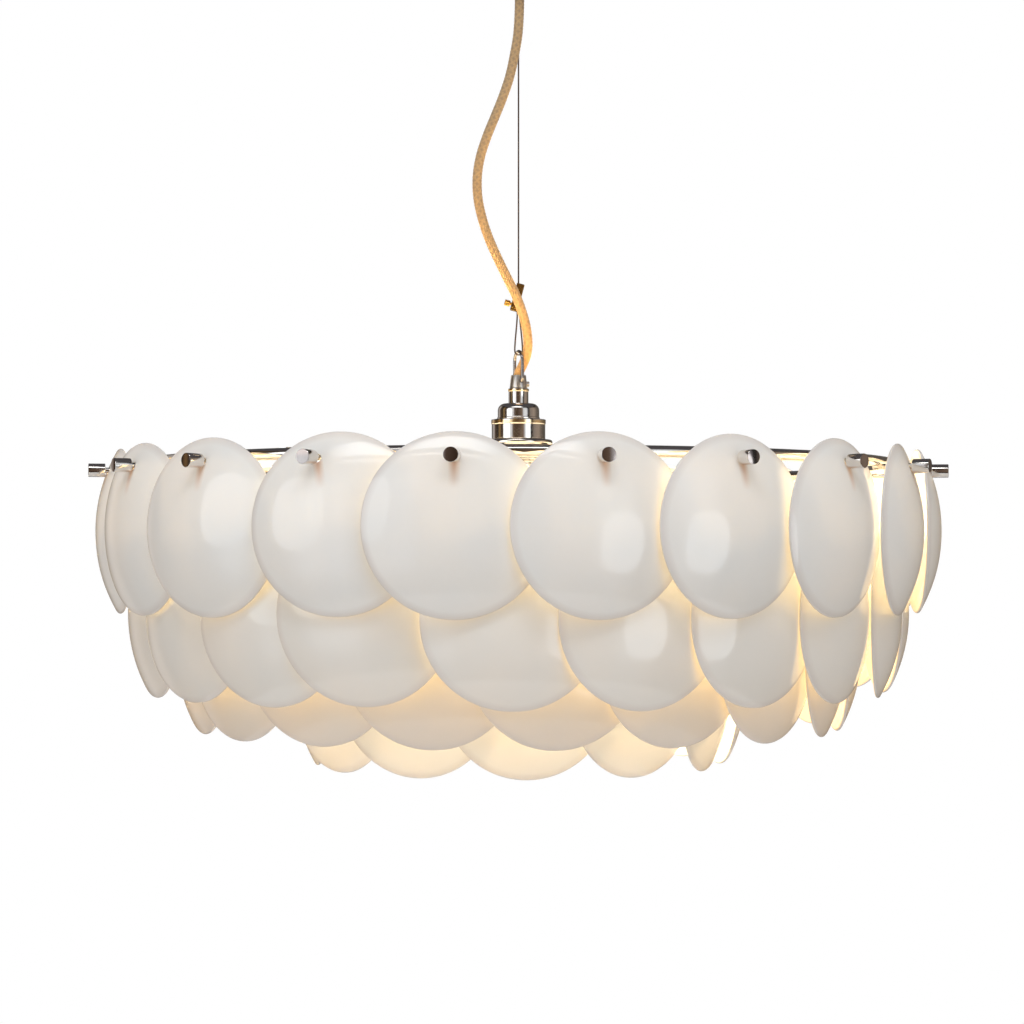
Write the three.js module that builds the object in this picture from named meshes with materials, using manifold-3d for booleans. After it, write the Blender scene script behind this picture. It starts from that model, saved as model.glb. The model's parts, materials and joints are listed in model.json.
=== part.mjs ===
// A pendant chandelier: four tiers of domed, translucent china discs that hang on the studs of four
// nickel hoops, under a lampholder on a steel wire. Millimetres, +Z up, with the origin on the ceiling
// and the side that is seen first facing -Y.
import * as THREE from 'three';
import { mergeVertices } from 'three/addons/utils/BufferGeometryUtils.js';
import Module from 'manifold-3d';

const wasm = await Module();
wasm.setup();

// Gaps and overruns that every piece shares
const seatGap = 0.3;
const cutOverrun = 2;
const weldTolerance = 0.001;

// The china disc, hung by a hole near its top
const discRadius = 61.7;
const discDepth = 16.5;
const discWall = 3.2;
const discRimSetback = 2;
const discHoleInset = 16.8;
const discHoleRise = discRadius - discHoleInset;
const discHoleRadius = 2.9;
const discShoulderShare = 0.52;
const discRimInnerShare = 0.965;
const discInnerShare = 0.7;
const discHoleSides = 6;
const apartClearance = 2.4;
const fourthClearance = 5;
const garlandLap = 1.2;
const garlandPitchShare = 0.73;
const leanLimit = 30;
const leanSteps = 20;
const rimSteps = 60;

// A stud with its screw cap: the caps behind another tier are low ones
const studRadius = 2;
const studReach = 27.5;
const studSink = 2.5;
const capRadius = 5;
const topCapLength = 12.5;
const lowCapLength = 6;
const capPlay = 1.2;
const studSides = 4;
const topCapSides = 8;
const lowCapSides = 6;

// A hoop's round bar
const hoopBarRadius = 4;
const hoopLift = 4.2;
const hoopBarSides = 6;

// The four hoops, each set in and down from the one above
const topHoopRadius = 285;
const secondHoopInset = 23;
const thirdHoopInset = 36;
const fourthHoopInset = 88;
const secondDrop = 61;
const thirdDrop = 28;
const fourthDrop = 27;

// Discs that hang askew in the photograph, counted from zero at each tier's first bearing
const topAskewDisc = 3;
const topAskewAngle = 16;
const topAskewSlide = 4;
const secondAskewDisc = 3;
const secondAskewAngle = -17;

// As many discs as close a garland on a hoop, where each next one is a share of a disc's width on
function discsRound(hoopRadius) {
  const pitch = 2 * discRadius * garlandPitchShare;
  return Math.round((2 * Math.PI * (hoopRadius + studReach)) / pitch);
}

// The tiers of discs: bearings in degrees from the front, and the room between a disc and the next
const topTier = {
  hoopRadius: topHoopRadius,
  drop: 0,
  discs: 20,
  bearing: -79.7,
  clearance: apartClearance,
  askewDisc: topAskewDisc,
  askewAngle: topAskewAngle,
  askewSlide: topAskewSlide,
  capLength: topCapLength,
  capSides: topCapSides,
  sides: 14,
  hoopSegments: 40,
};
const secondTier = {
  hoopRadius: topTier.hoopRadius - secondHoopInset,
  drop: secondDrop,
  discs: discsRound(topTier.hoopRadius - secondHoopInset),
  bearing: -72.6,
  clearance: -garlandLap,
  askewDisc: secondAskewDisc,
  askewAngle: secondAskewAngle,
  askewSlide: 0,
  capLength: lowCapLength,
  capSides: lowCapSides,
  sides: 12,
  hoopSegments: 32,
};
const thirdTier = {
  hoopRadius: secondTier.hoopRadius - thirdHoopInset,
  drop: secondTier.drop + thirdDrop,
  discs: discsRound(secondTier.hoopRadius - thirdHoopInset),
  bearing: -73.7,
  clearance: -garlandLap,
  capLength: lowCapLength,
  capSides: lowCapSides,
  sides: 12,
  hoopSegments: 32,
};
const fourthTier = {
  hoopRadius: thirdTier.hoopRadius - fourthHoopInset,
  drop: thirdTier.drop + fourthDrop,
  discs: 12,
  bearing: -87.1,
  clearance: fourthClearance,
  capLength: lowCapLength,
  capSides: lowCapSides,
  sides: 12,
  hoopSegments: 24,
};

// The lampholder, heights above the top tier's studs
const skirtTop = 40.9;
const skirtFlangeRadius = 21.2;
const skirtFlangeHeight = 3.5;
const skirtRadius = 20.5;
const skirtHeight = 11.7;
const skirtThreadRadius = 19.5;
const skirtThreadLength = 21;
const skirtWall = 1.7;
const skirtPlateWall = 1.5;
const skirtPlateBore = 12;
const insertLength = 25;
const insertFloor = 4;
const capShellWall = 1.6;
const capBaseRadius = 16.6;
const capBaseHeight = 1.4;
const capDomeRadius = 15.9;
const capStraight = 5.2;
const capShoulder = 5.4;
const capNeckRadius = 7.6;
const capNeckHeight = 9.4;
const capCollarRadius = 8;
const capCollarHeight = 2;
const capBore = 5;
const capShoulderSteps = 3;
const holderSides = 18;

// Rings that clamp the frame's hub on the lampholder's thread
const beadRadius = 26.4;
const beadHeight = 4.1;
const beadBevelShare = 0.25;
const lowerRingRadius = 24;
const lowerRingStep = 1.1;
const lowerRingBands = 3;
const lowerRingBandHeight = 2;

// The bulb
const bulbCapRadius = 13.2;
const bulbCapLength = 22;
const bulbContactRadius = 4.6;
const bulbContactHeight = 1.6;
const bulbCapWall = 1.2;
const bulbRadius = 30;
const bulbLength = 88;
const bulbNeckRadius = 13;
const bulbNeckLength = 16;
const bulbWall = 1.2;
const bulbSides = 16;
const bulbShares = [0, 0.06, 0.18, 0.36, 0.56, 0.78, 1];

// Hub and ribs of the frame
const hubRadius = 24;
const plateThickness = 3;
const ribWidth = 8;
const ribCount = 4;
const ribBearing = 55;
const ribShoulder = 14.8;
const ribCrown = 7.5;
const ribTail = 6;
const ribShelf = 3;
const ribStep = 15;

// Cord grip, and the bail that hooks into its sides
const gripHeight = 10;
const gripBaseRadius = 6.8;
const gripTopRadius = 5.7;
const gripCordDepth = 2.4;
const gripScrewRadius = 2;
const gripScrewReach = 2.4;
const gripScrewStandOut = 1.5;
const gripScrewRise = 3.2;
const bailBarRadius = 1.2;
const bailPlay = 0.45;
const bailPivotRise = 5.4;
const bailHookReach = 1.9;
const bailHeight = 28.3;
const bailBend = 2;
const bailTurn = 22;
const bailSides = 6;
const bailSteps = 44;
const bailBendSteps = 3;
const bailTopSteps = 4;

// Suspension wire, its gripper and the loop under it
const wireRadius = 0.6;
const wireSides = 8;
const wireStep = 12;
const loopCentre = 0.1;
const loopPlay = 0.8;
const loopRadius = 2.9;
const loopStrandSpacing = 1.8;
const loopBendSteps = 6;
const loopStrandSteps = 4;
const loopSteps = 26;
const gripperWidth = 6;
const gripperLength = 21.4;
const gripperTilt = 14.9;
const gripperOffset = -0.95;
const gripperHeight = 134.5;
const gripperChannelWidth = 3.6;
const gripperChannelDepth = 1.9;
const thumbShankRadius = 1.2;
const thumbShankLength = 3.5;
const thumbNeckLength = 1.2;
const thumbHeadRadius = 2.3;
const thumbHeadLength = 4.2;
const thumbDrop = 6;
const thumbSides = 10;

// Ceiling rose
const dropToTopStuds = 406;
const strapLength = 84;
const strapWidth = 20;
const strapThickness = 2;
const strapHoleRadius = 2.5;
const strapHoleSpacing = 72;
const rodRadius = 4.7;
const rodLength = 29;
const cupRadius = 50;
const cupHeight = 26;
const cupWall = 1.5;
const cupCorner = 5;
const cupCornerSteps = 2;
const cupHoleRadius = 5.3;
const cupSides = 28;
const anchorFlangeRadius = 9;
const anchorFlangeHeight = 3;
const anchorRadius = 6.4;
const anchorLength = 10.5;
const anchorTipRadius = 4.2;
const anchorChamfer = 3;
const anchorSocketDepth = 3.6;
const anchorWireBore = 1.6;
const anchorWireDepth = 3.5;
const glandX = 0.8;
const glandY = -18;
const glandFlangeRadius = 8;
const glandFlangeHeight = 3;
const glandShankRadius = 5;
const glandShankLength = 7;
const glandBodyRadius = 5.3;
const glandTipRadius = 4.8;
const glandLength = 10;
const glandRecess = 5;
const smallSides = 12;
const blockLength = 24;
const blockWidth = 12;
const blockHeight = 10;
const blockOffset = 20;
const blockBore = 1.6;
const blockWays = 3;
const blockPitch = 7;

// The flex cord: points of its centre line below the gland, measured from the top tier's studs. Below
// them it runs into the cord grip
const cordRadius = 3.6;
const cordSides = 8;
const cordSteps = 60;
const cordEndLength = 3;
const cordRoute = [
  [0.8, -18, 374.4], [0.8, -18, 362], [0.5, -17.6, 347.1], [-0.6, -17, 331.7],
  [-3.2, -16.4, 316.4], [-6.6, -15.8, 301.1], [-11.7, -15.2, 285.8], [-17.9, -14.4, 270.5],
  [-24.2, -13.6, 255.1],
  [-29.1, -12.8, 239.8], [-31.4, -12, 224.5], [-30.9, -11.2, 209.2], [-27.7, -10.4, 193.9],
  [-22.6, -9.7, 178.6], [-15.8, -9.2, 163.2], [-8.3, -8.8, 147.9], [-2.1, -8.5, 135.5], [2.3, -7.8, 124],
  [5.6, -6.2, 112.5], [7, -5, 103], [7, -3.8, 95], [5.6, -1.7, 88.5], [3.1, -0.4, 82.5],
];

// Materials, one a finish
const china = new THREE.MeshStandardMaterial({ color: '#f1ece4', roughness: 0.2, metalness: 0 });
const nickel = new THREE.MeshStandardMaterial({ color: '#b9b2a8', roughness: 0.12, metalness: 1 });
const brass = new THREE.MeshStandardMaterial({ color: '#c98a2c', roughness: 0.25, metalness: 1 });
const steel = new THREE.MeshStandardMaterial({ color: '#7d7873', roughness: 0.35, metalness: 1 });
const braid = new THREE.MeshStandardMaterial({ color: '#d9a860', roughness: 0.85, metalness: 0 });
const ceramic = new THREE.MeshStandardMaterial({ color: '#e9e4da', roughness: 0.4, metalness: 0 });
const opal = new THREE.MeshStandardMaterial({ color: '#fff1d6', roughness: 0.3, metalness: 0 });

const degrees = THREE.MathUtils.degToRad;
const vec2 = (x, y) => new THREE.Vector2(x, y);

// A closed geometry with shared vertices and no triangle that has collapsed on the axis
function welded(geometry) {
  const plain = geometry.clone();
  plain.deleteAttribute('normal');
  plain.deleteAttribute('uv');
  const merged = mergeVertices(plain, weldTolerance);
  const index = [];
  for (let i = 0; i < merged.index.count; i += 3) {
    const corners = [0, 1, 2].map((k) => merged.index.getX(i + k));
    if (new Set(corners).size === 3) index.push(...corners);
  }
  merged.setIndex(index);
  return merged;
}

function toSolid(geometry) {
  const closed = welded(geometry);
  return new wasm.Manifold(new wasm.Mesh({
    numProp: 3,
    vertProperties: new Float32Array(closed.attributes.position.array),
    triVerts: new Uint32Array(closed.index.array),
  }));
}

function toGeometry(solid) {
  const mesh = solid.getMesh();
  const geometry = new THREE.BufferGeometry();
  geometry.setAttribute('position', new THREE.BufferAttribute(new Float32Array(mesh.vertProperties), 3));
  geometry.setIndex(new THREE.BufferAttribute(new Uint32Array(mesh.triVerts), 1));
  return geometry;
}

function joined(geometries) {
  return toGeometry(geometries.map(toSolid).reduce((sum, next) => sum.add(next)));
}

function cut(geometry, tools) {
  return toGeometry(tools.map(toSolid).reduce((rest, tool) => rest.subtract(tool), toSolid(geometry)));
}

// Turned pieces: the outline's points are [radius, height], and the axis stands along +Z
function turned(outline, sides) {
  const geometry = new THREE.LatheGeometry(outline.map(([r, z]) => vec2(r, z)), sides);
  return geometry.rotateX(Math.PI / 2);
}

// A closed outline ends where it starts, so that the turned piece has a bore
const turnedWithBore = (outline, sides) => turned([...outline, outline[0]], sides);

function roundShape(radius, sides) {
  const corners = Array.from({ length: sides }, (_, i) => {
    const angle = (2 * Math.PI * i) / sides;
    return vec2(radius * Math.cos(angle), radius * Math.sin(angle));
  });
  return new THREE.Shape(corners);
}

// A straight rod along Z, centred on the origin
function rod(radius, length, sides) {
  const options = { depth: length, bevelEnabled: false };
  return new THREE.ExtrudeGeometry(roundShape(radius, sides), options).translate(0, 0, -length / 2);
}

function tube(path, radius, sides, steps) {
  const options = { steps, bevelEnabled: false, extrudePath: path };
  return new THREE.ExtrudeGeometry(roundShape(radius, sides), options);
}

// The outline of a flat bar bent along a line of points, with mitred corners
function bentBarShape(points, thickness) {
  const line = points.map(([x, y]) => vec2(x, y));
  const side = (sign) => line.map((point, i) => {
    const before = line[Math.max(i - 1, 0)];
    const after = line[Math.min(i + 1, line.length - 1)];
    const into = point.clone().sub(before);
    const out = after.clone().sub(point);
    if (i === 0) into.copy(out);
    if (i === line.length - 1) out.copy(into);
    const normalIn = vec2(-into.y, into.x).normalize();
    const normalOut = vec2(-out.y, out.x).normalize();
    const mitre = normalIn.clone().add(normalOut).normalize();
    const reach = (sign * thickness) / 2 / mitre.dot(normalIn);
    return point.clone().addScaledVector(mitre, reach);
  });
  return new THREE.Shape([...side(1), ...side(-1).reverse()]);
}

function bentBar(points, thickness, width) {
  const options = { depth: width, bevelEnabled: false };
  const geometry = new THREE.ExtrudeGeometry(bentBarShape(points, thickness), options);
  return geometry.translate(0, 0, -width / 2).rotateX(Math.PI / 2);
}

function piece(name, geometry, material) {
  const mesh = new THREE.Mesh(geometry, material);
  mesh.name = name;
  return mesh;
}

const twoDigits = (number) => String(number).padStart(2, '0');

// The disc

// The dome's outer face is part of a sphere
const domeSphere = (discRadius ** 2 + discDepth ** 2) / (2 * discDepth);

// Height of the dome's outer face above the rim at a distance from its middle
function domeHeight(distance) {
  return Math.sqrt(domeSphere ** 2 - distance ** 2) - (domeSphere - discDepth);
}

// Turned about +Z, which is the way that the disc faces, with the rim's edge at zero
function discBlank(sides) {
  const shoulder = discRadius * discShoulderShare;
  const rimInner = discRadius * discRimInnerShare;
  const inner = discRadius * discInnerShare;
  return turned([
    [0, discDepth - discWall],
    [inner, domeHeight(inner) - discWall],
    [rimInner, -discRimSetback],
    [discRadius, 0],
    [shoulder, domeHeight(shoulder)],
    [0, discDepth],
  ], sides);
}

// The cap's inner face stays clear of the dome, which slopes away below the hole
function capStandOff() {
  const below = discHoleRise - capRadius;
  return domeHeight(below) - domeHeight(discHoleRise) + capPlay;
}

// How far from the lamp's axis the stud meets the dome's face
function discFaceRadius(tier) {
  return tier.hoopRadius + studReach - capStandOff();
}

// From a disc to its stud's own frame: X along the tier, Y up, Z outwards, with the stud's axis on Z
// and the dome's face at zero where the stud comes through. A slide takes it inwards on the stud
function discOnStud({ yaw, roll, slide }) {
  const place = new THREE.Matrix4().makeRotationZ(degrees(roll));
  place.multiply(new THREE.Matrix4().makeTranslation(0, studRadius + seatGap - discHoleRadius, -slide));
  place.multiply(new THREE.Matrix4().makeRotationY(degrees(yaw)));
  place.multiply(new THREE.Matrix4().makeTranslation(0, -discHoleRise, -domeHeight(discHoleRise)));
  return place;
}

// From a stud's own frame to its tier's
function studOnTier(tier, number, radius) {
  const bearing = degrees(tier.bearing + (360 / tier.discs) * number);
  const place = new THREE.Matrix4().makeRotationZ(bearing);
  place.multiply(new THREE.Matrix4().makeTranslation(0, -radius, 0));
  return place.multiply(new THREE.Matrix4().makeRotationX(Math.PI / 2));
}

// The room between a disc's dome and the rim of the next disc, which lies over it
function discRoom(tier, here, next) {
  const radius = discFaceRadius(tier);
  const placeHere = studOnTier(tier, 0, radius).multiply(discOnStud(here));
  const placeNext = studOnTier(tier, 1, radius).multiply(discOnStud(next));
  const toHere = placeHere.clone().invert().multiply(placeNext);
  const toNext = placeNext.clone().invert().multiply(placeHere);
  const domeCentre = new THREE.Vector3(0, 0, discDepth - domeSphere);
  const rimInner = discRadius * discRimInnerShare;
  let room = Infinity;
  for (let step = 0; step < rimSteps; step += 1) {
    const angle = (2 * Math.PI * step) / rimSteps;
    const way = new THREE.Vector3(Math.cos(angle), Math.sin(angle), 0);
    const rim = way.clone().multiplyScalar(rimInner).setZ(-discRimSetback).applyMatrix4(toHere);
    if (Math.hypot(rim.x, rim.y) < discRadius) {
      room = Math.min(room, rim.distanceTo(domeCentre) - domeSphere);
    }
    const edge = way.clone().multiplyScalar(discRadius).applyMatrix4(toNext);
    if (Math.hypot(edge.x, edge.y) < discRadius) {
      room = Math.min(room, domeSphere - discWall - edge.distanceTo(domeCentre));
    }
  }
  return room;
}

// The hang of a disc with this roll and slide: the least yaw at which it has the tier's room to the
// upright discs on both sides
function leaning(tier, roll, slide) {
  const upright = roll === 0 ? null : leaning(tier, 0, 0);
  let low = 0;
  let high = leanLimit;
  for (let step = 0; step < leanSteps; step += 1) {
    const hang = { yaw: (low + high) / 2, roll, slide };
    const neighbour = upright ?? hang;
    const room = Math.min(discRoom(tier, hang, neighbour), discRoom(tier, neighbour, hang));
    if (room < tier.clearance) low = hang.yaw;
    else high = hang.yaw;
  }
  return { yaw: high, roll, slide };
}

// A disc on its stud, in its tier's frame
function disc(tier, number) {
  const askew = number === tier.askewDisc;
  const hang = askew ? leaning(tier, tier.askewAngle, tier.askewSlide) : leaning(tier, 0, 0);
  const blank = discBlank(tier.sides).rotateZ(Math.PI / tier.sides).applyMatrix4(discOnStud(hang));
  const hole = rod(discHoleRadius, 2 * discDepth + 2 * discWall, discHoleSides).rotateZ(Math.PI / 2);
  hole.translate(0, studRadius + seatGap - discHoleRadius, 0).rotateZ(degrees(hang.roll));
  return cut(blank, [hole]).applyMatrix4(studOnTier(tier, number, discFaceRadius(tier)));
}

function discsApart(tier, prefix) {
  const group = new THREE.Group();
  for (let number = 0; number < tier.discs; number += 1) {
    group.add(piece(`${prefix}_${twoDigits(number + 1)}`, disc(tier, number), china));
  }
  group.position.z = -tier.drop;
  return group;
}

// A tier whose discs lean on one another all the way round, as one closed garland
function discGarland(tier, name) {
  const discs = Array.from({ length: tier.discs }, (_, number) => disc(tier, number));
  const garland = piece(name, joined(discs), china);
  garland.position.z = -tier.drop;
  return garland;
}

// Hoops with their studs and caps

function hoopBar(tier) {
  const corners = Array.from({ length: hoopBarSides }, (_, i) => {
    const angle = (2 * Math.PI * i) / hoopBarSides;
    return [tier.hoopRadius + hoopBarRadius * Math.cos(angle), hoopLift + hoopBarRadius * Math.sin(angle)];
  });
  return turnedWithBore(corners, tier.hoopSegments);
}

function studWithCap({ capLength, capSides }) {
  const foot = -studSink;
  const top = studReach + capLength / 2;
  const stud = rod(studRadius, top - foot, studSides).translate(0, 0, (top + foot) / 2);
  const cap = rod(capRadius, capLength, capSides).rotateZ(Math.PI / capSides);
  return joined([stud, cap.translate(0, 0, studReach + capLength / 2)]);
}

function hoop(name, tier) {
  const parts = [hoopBar(tier)];
  for (let number = 0; number < tier.discs; number += 1) {
    parts.push(studWithCap(tier).applyMatrix4(studOnTier(tier, number, tier.hoopRadius)));
  }
  const mesh = piece(name, joined(parts), nickel);
  mesh.position.z = -tier.drop;
  return mesh;
}

// The welded frame: a hub under the lampholder and ribs that pass inside every hoop

function hubTopHeight() {
  return skirtTop - skirtFlangeHeight - skirtHeight - beadHeight - 2 * seatGap;
}

// Radius of a rib's middle where it stands inside a hoop, clear of its facets whichever way it points
function insideHoop(tier) {
  const facetMiddle = (tier.hoopRadius - hoopBarRadius) * Math.cos(Math.PI / tier.hoopSegments);
  return Math.sqrt(facetMiddle ** 2 - (ribWidth / 2) ** 2) - seatGap - plateThickness / 2;
}

function rib() {
  const hubMiddle = hubTopHeight() - plateThickness / 2;
  const hoopTop = (tier) => -tier.drop + hoopLift + hoopBarRadius;
  return bentBar([
    [hubRadius - plateThickness, hubMiddle],
    [hubRadius + plateThickness, hubMiddle],
    [2 * hubRadius, ribShoulder],
    [insideHoop(topTier), ribCrown],
    [insideHoop(topTier), -topTier.drop - ribTail],
    [insideHoop(secondTier), hoopTop(secondTier) + ribShelf],
    [insideHoop(secondTier), -secondTier.drop],
    [insideHoop(thirdTier), hoopTop(thirdTier) + ribStep],
    [insideHoop(thirdTier), -thirdTier.drop],
    [insideHoop(fourthTier), hoopTop(fourthTier) + ribStep],
    [insideHoop(fourthTier), -fourthTier.drop - ribTail],
  ], plateThickness, ribWidth);
}

function spiderFrame() {
  const top = hubTopHeight();
  const bore = skirtThreadRadius + seatGap;
  const hub = turnedWithBore([
    [bore, top - plateThickness], [hubRadius, top - plateThickness], [hubRadius, top], [bore, top],
  ], holderSides);
  const parts = [hub];
  for (let number = 0; number < ribCount; number += 1) {
    const bearing = degrees(ribBearing + (360 / ribCount) * number);
    parts.push(rib().rotateZ(bearing));
  }
  return piece('spider_frame', joined(parts), nickel);
}

// The lampholder

function lampholderSkirt() {
  const flangeFoot = skirtTop - skirtFlangeHeight;
  const threadTop = flangeFoot - skirtHeight;
  const threadFoot = threadTop - skirtThreadLength;
  const inside = skirtThreadRadius - skirtWall;
  return piece('lampholder_skirt', turnedWithBore([
    [skirtThreadRadius, threadFoot],
    [skirtThreadRadius, threadTop],
    [skirtRadius, threadTop],
    [skirtRadius, flangeFoot],
    [skirtFlangeRadius, flangeFoot],
    [skirtFlangeRadius, skirtTop],
    [skirtPlateBore, skirtTop],
    [skirtPlateBore, skirtTop - skirtPlateWall],
    [inside, skirtTop - skirtPlateWall],
    [inside, threadFoot],
  ], holderSides), nickel);
}

function insertTop() {
  return skirtTop - skirtPlateWall - seatGap;
}

function lampholderInsert() {
  const outer = skirtThreadRadius - skirtWall - seatGap;
  const bore = bulbCapRadius + seatGap;
  const foot = insertTop() - insertLength;
  return piece('lampholder_insert', turned([
    [0, insertTop() - insertFloor],
    [bore, insertTop() - insertFloor],
    [bore, foot],
    [outer, foot],
    [outer, insertTop()],
    [0, insertTop()],
  ], holderSides), ceramic);
}

// Neck, collar and rounded shoulder above the skirt, hollow for the cord's cores
function lampholderCap() {
  const foot = skirtTop + seatGap;
  const baseTop = foot + capBaseHeight;
  const shoulderFoot = baseTop + capStraight;
  const neckFoot = shoulderFoot + capShoulder;
  const neckTop = neckFoot + capNeckHeight;
  const shoulder = [];
  for (let step = 1; step <= capShoulderSteps; step += 1) {
    const angle = (Math.PI / 2) * (step / capShoulderSteps);
    const reach = capDomeRadius - capShoulder * (1 - Math.cos(angle));
    shoulder.push([reach, shoulderFoot + capShoulder * Math.sin(angle)]);
  }
  const inner = capDomeRadius - capShellWall;
  return piece('lampholder_cap', turnedWithBore([
    [capBaseRadius, foot],
    [capBaseRadius, baseTop],
    [capDomeRadius, baseTop],
    [capDomeRadius, shoulderFoot],
    ...shoulder,
    [capNeckRadius, neckFoot],
    [capNeckRadius, neckTop],
    [capCollarRadius, neckTop],
    [capCollarRadius, neckTop + capCollarHeight],
    [capBore, neckTop + capCollarHeight],
    [capBore, neckFoot - capShellWall],
    [inner, shoulderFoot],
    [inner, foot],
  ], holderSides), nickel);
}

function capTop() {
  return skirtTop + seatGap + capBaseHeight + capStraight + capShoulder + capNeckHeight + capCollarHeight;
}

function shadeRingUpper() {
  const top = skirtTop - skirtFlangeHeight - skirtHeight - seatGap;
  const bore = skirtThreadRadius + seatGap;
  const edge = beadHeight * beadBevelShare;
  return piece('shade_ring_upper', turnedWithBore([
    [bore, top - beadHeight],
    [beadRadius - edge, top - beadHeight],
    [beadRadius, top - beadHeight + edge],
    [beadRadius, top - edge],
    [beadRadius - edge, top],
    [bore, top],
  ], holderSides), nickel);
}

// Steps inwards on its way down
function shadeRingLower() {
  const top = hubTopHeight() - plateThickness - seatGap;
  const bore = skirtThreadRadius + seatGap;
  const steps = [];
  const foot = top - lowerRingBandHeight * lowerRingBands;
  for (let band = 0; band < lowerRingBands; band += 1) {
    const radius = lowerRingRadius - lowerRingStep * (lowerRingBands - 1 - band);
    const bandFoot = foot + lowerRingBandHeight * band;
    steps.push([radius, bandFoot], [radius, bandFoot + lowerRingBandHeight]);
  }
  const outline = [[bore, foot], ...steps, [bore, top]];
  return piece('shade_ring_lower', turnedWithBore(outline, holderSides), nickel);
}

// The bulb

function bulbTop() {
  return insertTop() - insertFloor - seatGap;
}

function bulbCap() {
  const shoulder = bulbTop() - bulbContactHeight;
  const foot = bulbTop() - bulbCapLength;
  const inner = bulbCapRadius - bulbCapWall;
  return piece('bulb_cap', turned([
    [0, shoulder - bulbCapWall],
    [inner, shoulder - bulbCapWall],
    [inner, foot],
    [bulbCapRadius, foot],
    [bulbCapRadius, shoulder],
    [bulbContactRadius, shoulder],
    [bulbContactRadius, bulbTop()],
    [0, bulbTop()],
  ], holderSides), steel);
}

// Half-width of the glass at a share of its length, from the tip upwards: half a ball, then an eased
// run to the neck
function bulbHalfWidth(share, wall) {
  const height = share * bulbLength;
  const radius = bulbRadius - wall;
  if (height < bulbRadius) return (radius / bulbRadius) * Math.sqrt(height * (2 * bulbRadius - height));
  const ease = THREE.MathUtils.smoothstep(height, bulbRadius, bulbLength - bulbNeckLength);
  return THREE.MathUtils.lerp(radius, bulbNeckRadius - wall, ease);
}

function bulbGlass() {
  const rim = bulbTop() - bulbCapLength - seatGap;
  const skin = (wall) => bulbShares.map((share) => [
    bulbHalfWidth(share, wall),
    rim - bulbLength + wall + share * (bulbLength - wall),
  ]);
  const outline = [...skin(0), ...skin(bulbWall).reverse()];
  return piece('bulb_glass', turned(outline, bulbSides), opal);
}

// Cord grip, its screw and the bail

function gripFoot() {
  return capTop() + seatGap;
}

function gripTop() {
  return gripFoot() + gripHeight;
}

function gripRadiusAt(rise) {
  return THREE.MathUtils.lerp(gripBaseRadius, gripTopRadius, rise / gripHeight);
}

// How far the bail's hooks reach in towards the grip's middle
function bailHookEnd() {
  return gripRadiusAt(bailPivotRise) - bailHookReach;
}

function cordGrip() {
  const foot = gripFoot();
  const outline = [[0, foot], [gripBaseRadius, foot], [gripTopRadius, gripTop()], [0, gripTop()]];
  const mouth = rod(cordRadius + 2 * seatGap, gripCordDepth + cutOverrun, smallSides);
  mouth.translate(0, 0, gripTop() - gripCordDepth + (gripCordDepth + cutOverrun) / 2);
  const bore = rod(gripScrewRadius + seatGap, gripScrewReach + cutOverrun, thumbSides).rotateY(Math.PI / 2);
  const boreFloor = gripBaseRadius - gripScrewReach - seatGap;
  bore.translate(boreFloor + (gripScrewReach + cutOverrun) / 2, 0, foot + gripScrewRise);
  const pivots = [-1, 1].map((side) => {
    const length = bailHookReach + seatGap + cutOverrun;
    const pivot = rod(bailBarRadius + bailPlay, length, smallSides).rotateX(Math.PI / 2);
    pivot.translate(0, side * (bailHookEnd() - seatGap + length / 2), foot + bailPivotRise);
    return pivot.rotateZ(degrees(bailTurn));
  });
  return piece('cord_grip', cut(turned(outline, holderSides), [mouth, bore, ...pivots]), steel);
}

function cordGripScrew() {
  const length = gripScrewReach + gripScrewStandOut;
  const screw = rod(gripScrewRadius, length, thumbSides).rotateY(Math.PI / 2);
  screw.translate(gripBaseRadius - gripScrewReach + length / 2, 0, gripFoot() + gripScrewRise);
  return piece('cord_grip_screw', screw, steel);
}

// Half of the bail's centre line, as distances from the middle and heights: the hook, the leg and half
// of the round top
function bailHalfLine() {
  const spread = gripRadiusAt(bailPivotRise) + bailPlay + bailBarRadius;
  const pivot = gripFoot() + bailPivotRise;
  const shoulder = gripFoot() + bailHeight - spread;
  const line = [[bailHookEnd(), pivot]];
  for (let step = 0; step <= bailBendSteps; step += 1) {
    const angle = (Math.PI / 2) * (step / bailBendSteps);
    line.push([spread - bailBend * (1 - Math.sin(angle)), pivot + bailBend * (1 - Math.cos(angle))]);
  }
  line.push([spread, (pivot + bailBend + shoulder) / 2]);
  for (let step = 0; step < bailTopSteps; step += 1) {
    const angle = (Math.PI / 2) * (step / bailTopSteps);
    line.push([spread * Math.cos(angle), shoulder + spread * Math.sin(angle)]);
  }
  return line;
}

function hookBail() {
  const half = bailHalfLine();
  const front = half.map(([aside, height]) => new THREE.Vector3(0, -aside, height));
  const back = half.map(([aside, height]) => new THREE.Vector3(0, aside, height)).reverse();
  const top = new THREE.Vector3(0, 0, gripFoot() + bailHeight);
  const path = new THREE.CatmullRomCurve3([...front, top, ...back]);
  const bail = piece('hook_bail', tube(path, bailBarRadius, bailSides, bailSteps), steel);
  bail.rotation.z = degrees(bailTurn);
  return bail;
}

// The loop's lowest point, under the bail's top
function loopBottom() {
  const contact = gripFoot() + bailHeight - bailBarRadius - loopPlay - wireRadius;
  return contact - (loopRadius - Math.sqrt(loopRadius ** 2 - loopCentre ** 2));
}

function gripperFoot() {
  return gripperHeight - gripperLength / 2;
}

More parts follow.
